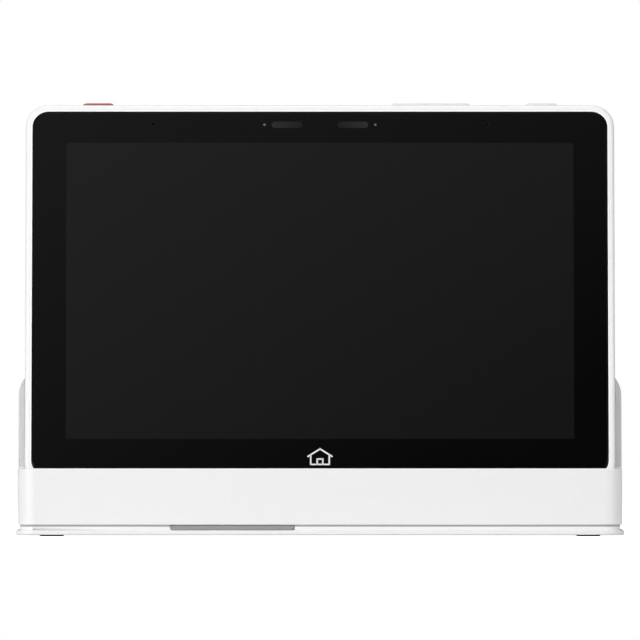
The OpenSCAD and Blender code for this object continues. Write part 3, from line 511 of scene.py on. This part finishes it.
def make_materials():
    """A finish for each of the record's material slots, and the three above."""
    look = colours()
    return {
        "tablet_white": plastic("tablet_white", look.shell_white, 0.36, contrast=0.012),
        "dock_white": plastic("dock_white", look.shell_white, 0.42, depth=0.000007,
                              contrast=0.015),
        "key_white": plastic("key_white", look.key_white, 0.34, contrast=0.015),
        "alarm_red": plastic("alarm_red", look.alarm_red, 0.34, contrast=0.05),
        "black_glass": printed_glass(),
        "black_seal": plastic("black_seal", (0.0006, 0.0006, 0.0006), 0.9, patches=0.1,
                              gloss=0.1),
        "screen": dark_screen(),
        "aluminium_sheet": metal("aluminium_sheet", (0.74, 0.75, 0.76), 0.34),
        "steel_screw": metal("steel_screw", (0.30, 0.30, 0.31), 0.3),
        "tinned_steel": metal("tinned_steel", (0.70, 0.70, 0.69), 0.28),
        "circuit_board": circuit_board(),
        "chip_black": plastic("chip_black", (0.022, 0.022, 0.023), 0.55, grain=0.12 * MM,
                              contrast=0.15),
        "battery_wrap": battery_foil(),
        "lead_red": plastic("lead_red", (0.50, 0.030, 0.030), 0.4),
        "flat_cable": flat_cable(),
        "speaker_black": plastic("speaker_black", (0.028, 0.028, 0.029), 0.5, grain=0.5 * MM,
                                 depth=0.00001, contrast=0.12),
        "camera_black": plastic("camera_black", (0.014, 0.014, 0.017), 0.18, contrast=0.1),
        "gold_plate": metal("gold_plate", (0.86, 0.60, 0.24), 0.2, contrast=0.06),
        "mic_mesh": plastic("mic_mesh", (0.05, 0.05, 0.052), 0.6, grain=0.1 * MM,
                            depth=0.00002, contrast=0.3),
        "magnet_nickel": metal("magnet_nickel", (0.62, 0.61, 0.59), 0.16, contrast=0.05),
        "chassis_grey": plastic("chassis_grey", (0.42, 0.43, 0.44), 0.5, depth=0.00001),
        "foot_rubber": plastic("foot_rubber", look.rubber_grey, 0.78, grain=0.4 * MM,
                               depth=0.00002, patches=0.12, contrast=0.18),
        "pad_rubber": plastic("pad_rubber", [c * 1.5 for c in look.rubber_grey], 0.74,
                              grain=0.35 * MM, depth=0.00002, patches=0.12, contrast=0.15),
        "ballast_steel": metal("ballast_steel", (0.33, 0.34, 0.35), 0.42, contrast=0.25),
        "spring_steel": metal("spring_steel", (0.60, 0.60, 0.61), 0.22),
        "latch_grey": plastic("latch_grey", look.latch_grey, 0.42, contrast=0.04),
        # Painted shade in the dock's pocket and on the wings' faces
        POCKET_SHADE_FINISH: plastic(POCKET_SHADE_FINISH, look.shell_white, 0.42, depth=0.000007, contrast=0.015,
                       shade=pocket_shade),
        # Painted highlight on the trim round the glass
        TRIM_HIGHLIGHT: plastic(TRIM_HIGHLIGHT, look.trim_white, 0.22, depth=0.000002, contrast=0.01),
        # Painted shadow line under the dock shells
        SEAM_SHADE: plastic(SEAM_SHADE, look.seam_grey, 0.7, patches=0.1, contrast=0.05),
    }


SLOT_OF = {row["node"]: row["material_slot"] for row in frame["record"]["subparts"]}
palette = {}


def dress(node):
    """Gives a CAD node its own finish."""
    obj = nodes[node]
    obj.data.materials.clear()
    obj.data.materials.append(palette[SLOT_OF[node]])


# ---------------------------------------------------------------- mesh helpers


CREASE = math.radians(35)          # a bend above this stays sharp in the shading
SHARP = math.radians(30)           # a bend above this is rounded
MERGE = 0.0005 * MM                # points nearer than this are one
FLAT = math.radians(0.4)           # triangles within this are one flat face


def finish_piece(bm, name, body, slot, replaced=(), weighted=True, finish=None):
    """Turns a bmesh into a shown piece that rides on a body."""
    mesh = bpy.data.meshes.new(name)
    for face in bm.faces:
        face.smooth = True
    bm.to_mesh(mesh)
    bm.free()
    mesh.set_sharp_from_angle(angle=CREASE)
    obj = bpy.data.objects.new(name, mesh)
    bpy.context.scene.collection.objects.link(obj)
    mesh.materials.append(palette[finish or slot])
    if weighted:
        obj.modifiers.new("even_normals", "WEIGHTED_NORMAL").keep_sharp = True
    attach(obj, body)
    if replaced:
        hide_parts(*replaced)
    return obj


def body_holding(node):
    bodies = frame["record"]["behaviour"]["bodies"]
    return next(body for body, members in bodies.items() if node in members)


def merged_copy(node):
    """A copy of a node's mesh with its triangles joined and its flat faces made whole."""
    bm = bmesh.new()
    bm.from_mesh(nodes[node].data)
    bmesh.ops.remove_doubles(bm, verts=bm.verts, dist=MERGE)
    bmesh.ops.dissolve_limit(bm, angle_limit=FLAT, verts=bm.verts, edges=bm.edges,
                             delimit={"NORMAL"})
    return bm


def round_edges(bm, radius, segments=3, chosen=None):
    """Rounds the sharp outer edges, or those of them that chosen picks."""
    edges = [e for e in bm.edges
             if e.is_manifold and e.calc_face_angle_signed(0.0) > SHARP
             and (chosen is None or chosen(e))]
    bmesh.ops.bevel(bm, geom=edges, offset=radius, offset_type="OFFSET", segments=segments,
                    profile=0.5, affect="EDGES", clamp_overlap=False, material=-1)


def softened(node, radius, segments=3, chosen=None, finish=None):
    """Replaces a node by a copy of itself with round edges."""
    bm = merged_copy(node)
    round_edges(bm, radius, segments=segments, chosen=chosen)
    return finish_piece(bm, node + "_skin", body_holding(node), SLOT_OF[node], [node],
                        finish=finish)


def rounded_ring(width, height, corner, band, depth):
    """A flat ring with round corners, its top on z = 0 and its middle on the Z axis."""
    bm = bmesh.new()
    bmesh.ops.create_grid(bm, x_segments=1, y_segments=1, size=0.5)
    bmesh.ops.scale(bm, vec=(width, height, 1), verts=bm.verts)
    bmesh.ops.bevel(bm, geom=bm.verts, offset=corner, offset_type="OFFSET", segments=12,
                    profile=0.5, affect="VERTICES", clamp_overlap=False, material=-1)
    inside = bm.faces[:]
    bmesh.ops.inset_region(bm, faces=inside, thickness=band, use_boundary=True,
                           use_even_offset=True)
    bmesh.ops.delete(bm, geom=inside, context="FACES_ONLY")
    made = bmesh.ops.extrude_face_region(bm, geom=bm.faces[:])
    lower = [v for v in made["geom"] if isinstance(v, bmesh.types.BMVert)]
    bmesh.ops.translate(bm, verts=lower, vec=(0, 0, -depth))
    bmesh.ops.recalc_face_normals(bm, faces=bm.faces)
    return bm


def lathe(bm, outline, centre, steps):
    """Spins an outline of (radius, height) points about Z at centre."""
    verts = [bm.verts.new((centre[0] + r, centre[1], centre[2] + z)) for r, z in outline]
    edges = [bm.edges.new(pair) for pair in zip(verts, verts[1:])]
    bmesh.ops.spin(bm, geom=verts + edges, cent=centre, axis=(0, 0, 1), angle=math.tau,
                   steps=steps, use_merge=True, use_duplicate=False)


def arc(centre, radius, start, end, steps):
    """Points along an arc, in degrees."""
    turns = [math.radians(start + (end - start) * i / steps) for i in range(steps + 1)]
    return [(centre[0] + radius * math.cos(t), centre[1] + radius * math.sin(t)) for t in turns]


def close_lathe(bm):
    """Merges the points on the axis and turns every face outwards."""
    bmesh.ops.remove_doubles(bm, verts=bm.verts, dist=MERGE)
    bmesh.ops.recalc_face_normals(bm, faces=bm.faces)


# ---------------------------------------------------------------- the tablet


class HUB_OT_tablet_housing(Operator):
    """Front frame and back cover of the tablet"""

    bl_idname = "hub.tablet_housing"
    bl_label = "Tablet housing"

    def execute(self, context):
        for node in ("tablet_frame", "tablet_back_cover"):
            softened(node, sizes().housing_edge)
        return {"FINISHED"}


class HUB_OT_cover_glass(Operator):
    """Cover glass with its printed border, and the seal round it"""

    bl_idname = "hub.cover_glass"
    bl_label = "Cover glass"

    corner = 5.6 * MM    # inner corner radius of the trim
    overhang = 0.02 * MM
    trim_depth = 0.2 * MM

    def execute(self, context):
        softened("cover_glass", sizes().glass_edge)
        dress("glass_gasket")
        self.trim()
        return {"FINISHED"}

    def trim(self):
        """A ring on the rim round the opening that holds the glass. It is brighter than the housing: a painted
        highlight of the edge round the glass.
        """
        low, high = leaned_box("glass_gasket")
        wide = sizes().trim_width
        grown = 2 * (wide - self.overhang)
        bm = rounded_ring(high.x - low.x + grown, high.z - low.z + grown, self.corner + wide,
                          wide, self.trim_depth)
        round_edges(bm, wide / 4, chosen=lambda e: all(v.co.z > -self.trim_depth / 2
                                                       for v in e.verts))
        front = leaned_box("tablet_frame")[0].y - sizes().trim_proud
        middle = Vector(((low.x + high.x) / 2, front, (low.z + high.z) / 2))
        place = Matrix.Translation(middle) @ Matrix.Rotation(math.pi / 2, 4, "X")
        bmesh.ops.transform(bm, matrix=TILT @ place, verts=bm.verts)
        finish_piece(bm, "glass_trim", "tablet", "tablet_white", finish=TRIM_HIGHLIGHT)


class HUB_OT_house_mark(Operator):
    """Plain outline of a house, printed on the lower border of the glass"""

    bl_idname = "hub.house_mark"
    bl_label = "House mark"

    wall_share = 0.56        # height of the walls, as a share of the whole mark
    half_width_share = 0.56  # half the width, as a share of the height
    eaves = 1.28             # reach of the roof past the walls
    eaves_height = 0.93      # height of the roof's ends, as a share of the walls
    door_share = 0.3         # width and height of the door, as shares of the walls
    door_height = 0.62
    proud = 0.02 * MM

    def execute(self, context):
        high = sizes().mark_height
        line = sizes().mark_line
        foot = (GLASS_LOW.z + PANEL_LOW.z + LIT_MARGIN_FOOT) / 2 - high / 2
        front = GLASS_LOW.y - self.proud
        half = high * self.half_width_share
        wall = high * self.wall_share
        bm = bmesh.new()
        walls = [(half, wall), (half, 0), (-half, 0), (-half, wall)]
        end, low_end = half * self.eaves, wall * self.eaves_height
        roof = [(-end, low_end), (0, high), (end, low_end)]
        jamb, lintel = half * self.door_share, wall * self.door_height
        door = [(-jamb, 0), (-jamb, lintel), (jamb, lintel), (jamb, 0)]
        for path in (walls, roof, door):
            self.stroke(bm, path, line)
        bmesh.ops.translate(bm, verts=bm.verts, vec=(0, front, foot))
        bmesh.ops.transform(bm, matrix=TILT, verts=bm.verts)
        finish_piece(bm, "house_mark", "tablet", "key_white", weighted=False)
        return {"FINISHED"}

    @classmethod
    def stroke(cls, bm, path, line):
        """Lays a bar of the line's width along each stretch of a path, a hair thick."""
        for (x0, z0), (x1, z1) in zip(path, path[1:]):
            run = math.hypot(x1 - x0, z1 - z0)
            place = (Matrix.Translation(((x0 + x1) / 2, 0, (z0 + z1) / 2))
                     @ Matrix.Rotation(-math.atan2(z1 - z0, x1 - x0), 4, "Y")
                     @ Matrix.Diagonal((run + line, 2 * cls.proud, line, 1)))
            bmesh.ops.create_cube(bm, size=1.0, matrix=place)


class HUB_OT_sensor_lenses(Operator):
    """Two small emitter lenses beside the sensor windows"""

    bl_idname = "hub.sensor_lenses"
    bl_label = "Sensor lenses"

    emitter_x = 18.85 * MM
    emitter_radius = 0.42 * MM
    proud = 0.015 * MM
    sunk = 0.1 * MM

    def execute(self, context):
        bm = bmesh.new()
        for side in (-1, 1):
            self.lens(bm, side * self.emitter_x)
        finish_piece(bm, "emitter_lenses", "tablet", "tinned_steel")
        return {"FINISHED"}

    def lens(self, bm, x):
        """A shallow dome facing out of the glass."""
        radius, proud = self.emitter_radius, self.proud
        rim = [(radius, -self.sunk), (radius, 0.0), (radius * 0.8, proud * 0.7),
               (radius * 0.45, proud), (0.0, proud * 1.1)]
        part = bmesh.new()
        lathe(part, rim, (0, 0, 0), 24)
        close_lathe(part)
        turn = Matrix.Rotation(math.radians(90), 4, "X")
        place = TILT @ Matrix.Translation((x, GLASS_LOW.y, SENSOR_Z)) @ turn
        bmesh.ops.transform(part, matrix=place, verts=part.verts)
        mesh = bpy.data.meshes.new("lens")
        part.to_mesh(mesh)
        part.free()
        bm.from_mesh(mesh)
        bpy.data.meshes.remove(mesh)


class HUB_OT_keys(Operator):
    """Alarm key, volume rocker and power key"""

    bl_idname = "hub.keys"
    bl_label = "Keys"

    crown = 3.0 * MM  # how far down from its top a key is rounded

    def execute(self, context):
        for node in ("alarm_key", "volume_rocker", "power_key"):
            softened(node, sizes().key_edge, segments=4, chosen=self.on_crown(node))
        return {"FINISHED"}

    @classmethod
    def on_crown(cls, node):
        """Picks the edges of the part of a key that stands out of the housing."""
        foot = leaned_box(node)[1].z - cls.crown
        return lambda e: all((UNTILT @ v.co).z > foot for v in e.verts)


class HUB_OT_tablet_contacts(Operator):
    """Charging contacts in the tablet's lower edge"""

    bl_idname = "hub.tablet_contacts"
    bl_label = "Tablet contacts"

    def execute(self, context):
        for node in ("contact_pads", "contact_carrier"):
            softened(node, sizes().small_edge)
        return {"FINISHED"}


class HUB_OT_tablet_insides(Operator):
    """Screen, boards, battery, speakers and the rest inside the tablet"""

    bl_idname = "hub.tablet_insides"
    bl_label = "Tablet insides"

    shown = ("lcd_panel", "mid_plate", "mid_plate_screws", "main_board", "board_shields",
             "board_chips", "board_screws", "battery_pack", "battery_lead", "display_flex",
             "speaker_left", "speaker_right", "camera_module", "face_sensor", "microphones",
             "alarm_switch_board", "key_switch_board", "key_switches", "rocker_bracket",
             "rocker_pin", "tablet_magnets")

    def execute(self, context):
        for node in self.shown:
            dress(node)
        return {"FINISHED"}


# ---------------------------------------------------------------- the dock


class HUB_OT_dock_shells(Operator):
    """Cradle shell with the lip and wings, and the long curved rear shell"""

    bl_idname = "hub.dock_shells"
    bl_label = "Dock shells"

    def execute(self, context):
        # The cradle shell's finish carries painted shade in the pocket and on the wings' faces
        softened("cradle_shell", sizes().shell_edge, finish=POCKET_SHADE_FINISH)
        softened("rear_shell", sizes().shell_edge)
        return {"FINISHED"}


class HUB_OT_base_plate(Operator):
    """Base plate with its flange, a grey strip on its neck that paints the shadow line under the shells, and the
    chassis above it
    """

    bl_idname = "hub.base_plate"
    bl_label = "Base plate"

    neck_corner = 5.3 * MM
    seam_proud = 0.03 * MM
    seam_band = 0.4 * MM
    latch_gap = 0.1 * MM
    level = 0.01 * MM       # points this near are at one height
    flange_band = 0.6 * MM  # the flange's outline lies within this of the plate's box
    flange_corner = 7 * MM

    def execute(self, context):
        softened("base_plate", sizes().plate_edge, chosen=self.on_flange)
        self.seam()
        dress("dock_chassis")
        return {"FINISHED"}

    def seam(self):
        """A grey strip round the neck, under the shells, that stops beside the latch. It is painted shade: it
        stands for the shadow line under the shells' overhang.
        """
        low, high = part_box("cradle_shell")[0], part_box("rear_shell")[1]
        neck = max(v.co.x for v in nodes["base_plate"].data.vertices
                   if v.co.z > low.z - self.level)
        smaller = 2 * (high.x - neck - self.seam_proud)
        bm = rounded_ring(high.x - low.x - smaller, high.y - low.y - smaller, self.neck_corner,
                          self.seam_band, sizes().seam_height)
        bmesh.ops.translate(bm, verts=bm.verts, vec=(0, 0, low.z))
        ends = [side.x + gap for side, gap in zip(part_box("release_latch"),
                                                  (-self.latch_gap, self.latch_gap))]
        for x in ends:
            bmesh.ops.bisect_plane(bm, geom=bm.verts[:] + bm.edges[:] + bm.faces[:],
                                   plane_co=(x, 0, 0), plane_no=(1, 0, 0))
        before_latch = [f for f in bm.faces
                        if f.calc_center_median().y < 0
                        and ends[0] < f.calc_center_median().x < ends[1]]
        bmesh.ops.delete(bm, geom=before_latch, context="FACES")
        bmesh.ops.holes_fill(bm, edges=[e for e in bm.edges if e.is_boundary])
        bmesh.ops.recalc_face_normals(bm, faces=bm.faces)
        finish_piece(bm, "seam_strip", "dock", "black_seal", finish=SEAM_SHADE)

    @classmethod
    def on_flange(cls, edge):
        """Picks the edges round the flange's outer wall, above and below."""
        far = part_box("base_plate")[1]
        band, corner = cls.flange_band, cls.flange_corner
        return all(x > far.x - band or y > far.y - band
                   or (x > far.x - corner and y > far.y - corner
                       and math.hypot(x - far.x + corner, y - far.y + corner) > corner - band)
                   for x, y in ((abs(v.co.x), abs(v.co.y)) for v in edge.verts))


class HUB_OT_feet(Operator):
    """Four rubber feet with a ring groove in the sole"""

    bl_idname = "hub.feet"
    bl_label = "Feet"

    edge = 0.35 * MM
    groove_radius = 2.5 * MM
    groove_half = 0.35 * MM
    groove_depth = 0.25 * MM
    groove_floor = 0.6  # width of the groove's floor, as a share of its mouth

    def execute(self, context):
        for node in ("foot_front_left", "foot_front_right", "foot_rear_left", "foot_rear_right"):
            low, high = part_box(node)
            self.foot(node, (low + high) / 2, (high.x - low.x) / 2, low.z, high.z)
        return {"FINISHED"}

    def foot(self, node, middle, radius, low, high):
        floor = self.groove_half * self.groove_floor
        sole = [(0.0, low), (self.groove_radius - self.groove_half, low),
                (self.groove_radius - floor, low + self.groove_depth),
                (self.groove_radius + floor, low + self.groove_depth),
                (self.groove_radius + self.groove_half, low)]
        side = arc((radius - self.edge, low + self.edge), self.edge, -90, 0, 4)
        bm = bmesh.new()
        lathe(bm, sole + side + [(radius, high), (0.0, high)], (middle.x, middle.y, 0),
              sizes().turn_steps)
        close_lathe(bm)
        finish_piece(bm, node + "_moulding", "dock", "foot_rubber", [node])


class HUB_OT_latch(Operator):
    """Release latch in the neck of the base plate, and its two springs"""

    bl_idname = "hub.latch"
    bl_label = "Release latch"

    def execute(self, context):
        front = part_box("release_latch")[0].y + sizes().small_edge
        softened("release_latch", sizes().small_edge,
                 chosen=lambda e: all(v.co.y < front for v in e.verts))
        sprung("latch_springs")
        return {"FINISHED"}


class HUB_OT_spring_contacts(Operator):
    """Five gold contact pins with domed tips, their springs and the block that holds them"""

    bl_idname = "hub.spring_contacts"
    bl_label = "Spring contacts"

    count = 5
    collar_height = 0.8 * MM
    collar_radius = 1.05 * MM
    pin_radius = 0.7 * MM
    dome_share = 0.55  # height of the domed tip, as a share of its radius

    def execute(self, context):
        low, high = leaned_box("pogo_pins")
        pitch = (high.x - low.x - 2 * self.collar_radius) / (self.count - 1)
        middle = (low + high) / 2
        tall = high.z - low.z
        dome = self.pin_radius
        outline = [(0.0, 0.0), (self.collar_radius, 0.0), (self.collar_radius, self.collar_height),
                   (self.pin_radius, self.collar_height)]
        outline += arc((0.0, tall - dome * self.dome_share), dome, 0, 90, 6)[:-1]
        outline = [(r, min(z, tall)) for r, z in outline] + [(0.0, tall)]
        bm = bmesh.new()
        for i in range(self.count):
            x = middle.x + (i - (self.count - 1) / 2) * pitch
            lathe(bm, outline, (x, middle.y, low.z), 28)
        close_lathe(bm)
        bmesh.ops.transform(bm, matrix=TILT, verts=bm.verts)
        finish_piece(bm, "contact_pins", "pogo_pins", "gold_plate", ["pogo_pins"])
        softened("pogo_block", sizes().small_edge)
        sprung("pogo_springs")
        return {"FINISHED"}


class HUB_OT_pads(Operator):
    """Rubber pads that the tablet stands on and leans on"""

    bl_idname = "hub.pads"
    bl_label = "Pads"

    def execute(self, context):
        for node in ("cradle_pads", "backrest_pads"):
            softened(node, sizes().small_edge)
        return {"FINISHED"}


class HUB_OT_dock_insides(Operator):
    """Ballast, board, socket, magnets and screws inside the dock"""

    bl_idname = "hub.dock_insides"
    bl_label = "Dock insides"

    socket_share = 0.6  # the socket's edges are this much finer than those of other fittings
    shown = ("ballast_plates", "ballast_screws", "chassis_screws", "dock_board",
             "dock_board_chips", "dock_board_screws", "pogo_flex", "dock_magnets")

    def execute(self, context):
        softened("usb_socket", sizes().small_edge * self.socket_share, segments=2)
        for node in self.shown:
            dress(node)
        return {"FINISHED"}


def sprung(node):
    """A copy of a coil spring with a mesh of its own."""
    bm = merged_copy(node)
    obj = finish_piece(bm, node + "_coils", body_holding(node), SLOT_OF[node], [node],
                       weighted=False)
    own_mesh(obj)
    return obj


# ---------------------------------------------------------------- the studio


class HUB_OT_stage(Operator):
    """Pale table, soft lights and the camera"""

    bl_idname = "hub.stage"
    bl_label = "Studio"

    floor_size = 3.2
    floor_tones = ((0.62, 0.62, 0.62), (0.64, 0.64, 0.64))
    floor_lift = 1.0                  # how much brighter the camera sees the table
    dark_turns = (45, 20)             # the room darkens between these turns from the mirror way
    dark_share = 0.08                 # what is left of the room there
    card_size = 0.5
    card_distance = 0.8
    card_level = (0.085, -0.55, 0.9)  # brightness at its middle, and its change per metre
    light_size = 0.9
    light_aim = Vector((0, 0, 0.07))
    lights = (("key_light", "key_power", (-1.32, -1.10, 0.55)),
              ("fill_light", "fill_power", (1.33, -1.04, 0.55)),
              ("top_light", "top_power", (-0.1, 0.2, 1.6)))

    def execute(self, context):
        self.table()
        self.surroundings(context)
        for name, power, place in self.lights:
            self.soft_light(name, place, getattr(studio(), power))
        self.sheen_card()
        self.camera(context)
        context.scene.view_settings.view_transform = "Standard"
        return {"FINISHED"}

    @staticmethod
    def sheet(name, size):
        """A flat square on the origin."""
        bm = bmesh.new()
        bmesh.ops.create_grid(bm, x_segments=1, y_segments=1, size=size / 2)
        mesh = bpy.data.meshes.new(name)
        bm.to_mesh(mesh)
        bm.free()
        obj = bpy.data.objects.new(name, mesh)
        bpy.context.scene.collection.objects.link(obj)
        return obj

    def table(self):
        """A pale table, lifted towards white where the camera looks at it."""
        made, tree, shader, where = start_material("table_white")
        tone = tree.blend(tree.noise(where, 3.0), *map(rgba, self.floor_tones))
        seen = tree.add("ShaderNodeLightPath").outputs["Is Camera Ray"]
        tree.fill(shader, Base_Color=tone, Roughness=0.9, Specular_IOR_Level=0.1,
                  Emission_Color=rgba((1.0, 1.0, 1.0)),
                  Emission_Strength=tree.math("MULTIPLY", seen, self.floor_lift))
        self.sheet("table_top", self.floor_size).data.materials.append(made)

    def surroundings(self, context):
        """A white backdrop, and for the light a dim room that is darkest where the glass looks."""
        world = bpy.data.worlds.new("studio")
        world.use_nodes = True
        world.node_tree.nodes.clear()
        tree = Tree(world.node_tree)
        facing = tree.add("ShaderNodeVectorMath", operation="DOT_PRODUCT")
        tree.put(facing.inputs[0], tree.add("ShaderNodeTexCoord").outputs["Generated"])
        facing.inputs[1].default_value = self.mirror_way()
        outer, inner = (math.cos(math.radians(turn)) for turn in self.dark_turns)
        dark = tree.scale(facing.outputs["Value"], outer, inner, 1.0, self.dark_share,
                          smooth=True)
        room = tree.math("MULTIPLY", dark, studio().ambient)
        seen = tree.add("ShaderNodeLightPath").outputs["Is Camera Ray"]
        background = tree.add("ShaderNodeBackground")
        tree.fill(background, Color=rgba((1.0, 1.0, 1.0)),
                  Strength=tree.math("MAXIMUM", room, seen))
        out = tree.add("ShaderNodeOutputWorld")
        tree.put(out.inputs["Surface"], background.outputs[0])
        context.scene.world = world

    @staticmethod
    def mirror_way():
        """The way that the glass reflects when it is seen level from the front."""
        return Vector((0, -math.cos(2 * LEAN), math.sin(2 * LEAN)))

    def sheen_card(self):
        """A dim card that only the glass sees, brightest towards the upper left."""
        obj = self.sheet("sheen_card", self.card_size)
        material = bpy.data.materials.new("sheen_card")
        material.use_nodes = True
        material.node_tree.nodes.clear()
        tree = Tree(material.node_tree)
        x, y, _ = tree.split(tree.add("ShaderNodeTexCoord").outputs["Object"])
        middle, across, up = self.card_level
        level = tree.math("MULTIPLY_ADD", x, across, middle)
        level = tree.math("MULTIPLY_ADD", y, up, level)
        glow = tree.add("ShaderNodeEmission")
        tree.put(glow.inputs["Strength"], tree.math("MAXIMUM", level, 0.0))
        out = tree.add("ShaderNodeOutputMaterial")
        tree.put(out.inputs["Surface"], glow.outputs[0])
        obj.data.materials.append(material)
        middle_of_glass = TILT @ ((GLASS_LOW + GLASS_HIGH) / 2)
        obj.location = middle_of_glass + self.mirror_way() * self.card_distance
        obj.rotation_euler = (math.radians(90) - 2 * LEAN, 0, 0)
        obj.visible_camera = False
        obj.visible_diffuse = False
        obj.visible_shadow = False

    def soft_light(self, name, place, power):
        """A round lamp that the camera doesn't see, aimed at the hub."""
        lamp = bpy.data.lights.new(name, "AREA")
        lamp.shape = "DISK"
        lamp.size = self.light_size
        lamp.energy = power
        obj = bpy.data.objects.new(name, lamp)
        bpy.context.scene.collection.objects.link(obj)
        obj.location = place
        aim = self.light_aim - Vector(place)
        obj.rotation_euler = aim.to_track_quat("-Z", "Y").to_euler()
        obj.visible_camera = False

    @staticmethod
    def camera(context):
        """A long lens, level and straight in front."""
        lens = bpy.data.cameras.new("front_view")
        lens.sensor_width = 36.0
        lens.lens = studio().lens
        lens.clip_start = 0.1
        lens.clip_end = 20.0
        obj = bpy.data.objects.new("front_view", lens)
        context.scene.collection.objects.link(obj)
        obj.location = (0, -studio().distance, studio().eye_height)
        obj.rotation_euler = (math.radians(90), 0, 0)
        context.scene.camera = obj


STEPS = (HUB_OT_stage, HUB_OT_tablet_housing, HUB_OT_cover_glass, HUB_OT_house_mark,
         HUB_OT_sensor_lenses, HUB_OT_keys, HUB_OT_tablet_contacts, HUB_OT_tablet_insides,
         HUB_OT_dock_shells, HUB_OT_base_plate, HUB_OT_feet, HUB_OT_latch,
         HUB_OT_spring_contacts, HUB_OT_pads, HUB_OT_dock_insides)


class HUB_PT_build(Panel):
    """Lists the steps and the values behind them"""

    bl_label = "Home Hub"
    bl_idname = "HUB_PT_build"
    bl_space_type = "VIEW_3D"
    bl_region_type = "UI"
    bl_category = "Home Hub"

    def draw(self, context):
        for step in STEPS:
            self.layout.operator(step.bl_idname)
        for group in (sizes(), colours(), studio()):
            column = self.layout.column(align=True)
            for name in group.bl_rna.properties.keys():
                if name not in {"rna_type", "name"}:
                    column.prop(group, name)


CLASSES = (HUB_PG_sizes, HUB_PG_colours, HUB_PG_studio, *STEPS, HUB_PT_build)


def register():
    for cls in CLASSES:
        bpy.utils.register_class(cls)
    bpy.types.Scene.hub_sizes = PointerProperty(type=HUB_PG_sizes)
    bpy.types.Scene.hub_colours = PointerProperty(type=HUB_PG_colours)
    bpy.types.Scene.hub_studio = PointerProperty(type=HUB_PG_studio)


def unregister():
    del bpy.types.Scene.hub_studio
    del bpy.types.Scene.hub_colours
    del bpy.types.Scene.hub_sizes
    for cls in reversed(CLASSES):
        bpy.utils.unregister_class(cls)


def main():
    register()
    for make_effect in (make_grain_effect, make_brushed_effect, make_window_effect,
                        make_board_effect):
        make_effect()
    palette.update(make_materials())
    for step in STEPS:
        group, name = step.bl_idname.split(".")
        getattr(getattr(bpy.ops, group), name)()


if __name__ == "__main__":
    main()
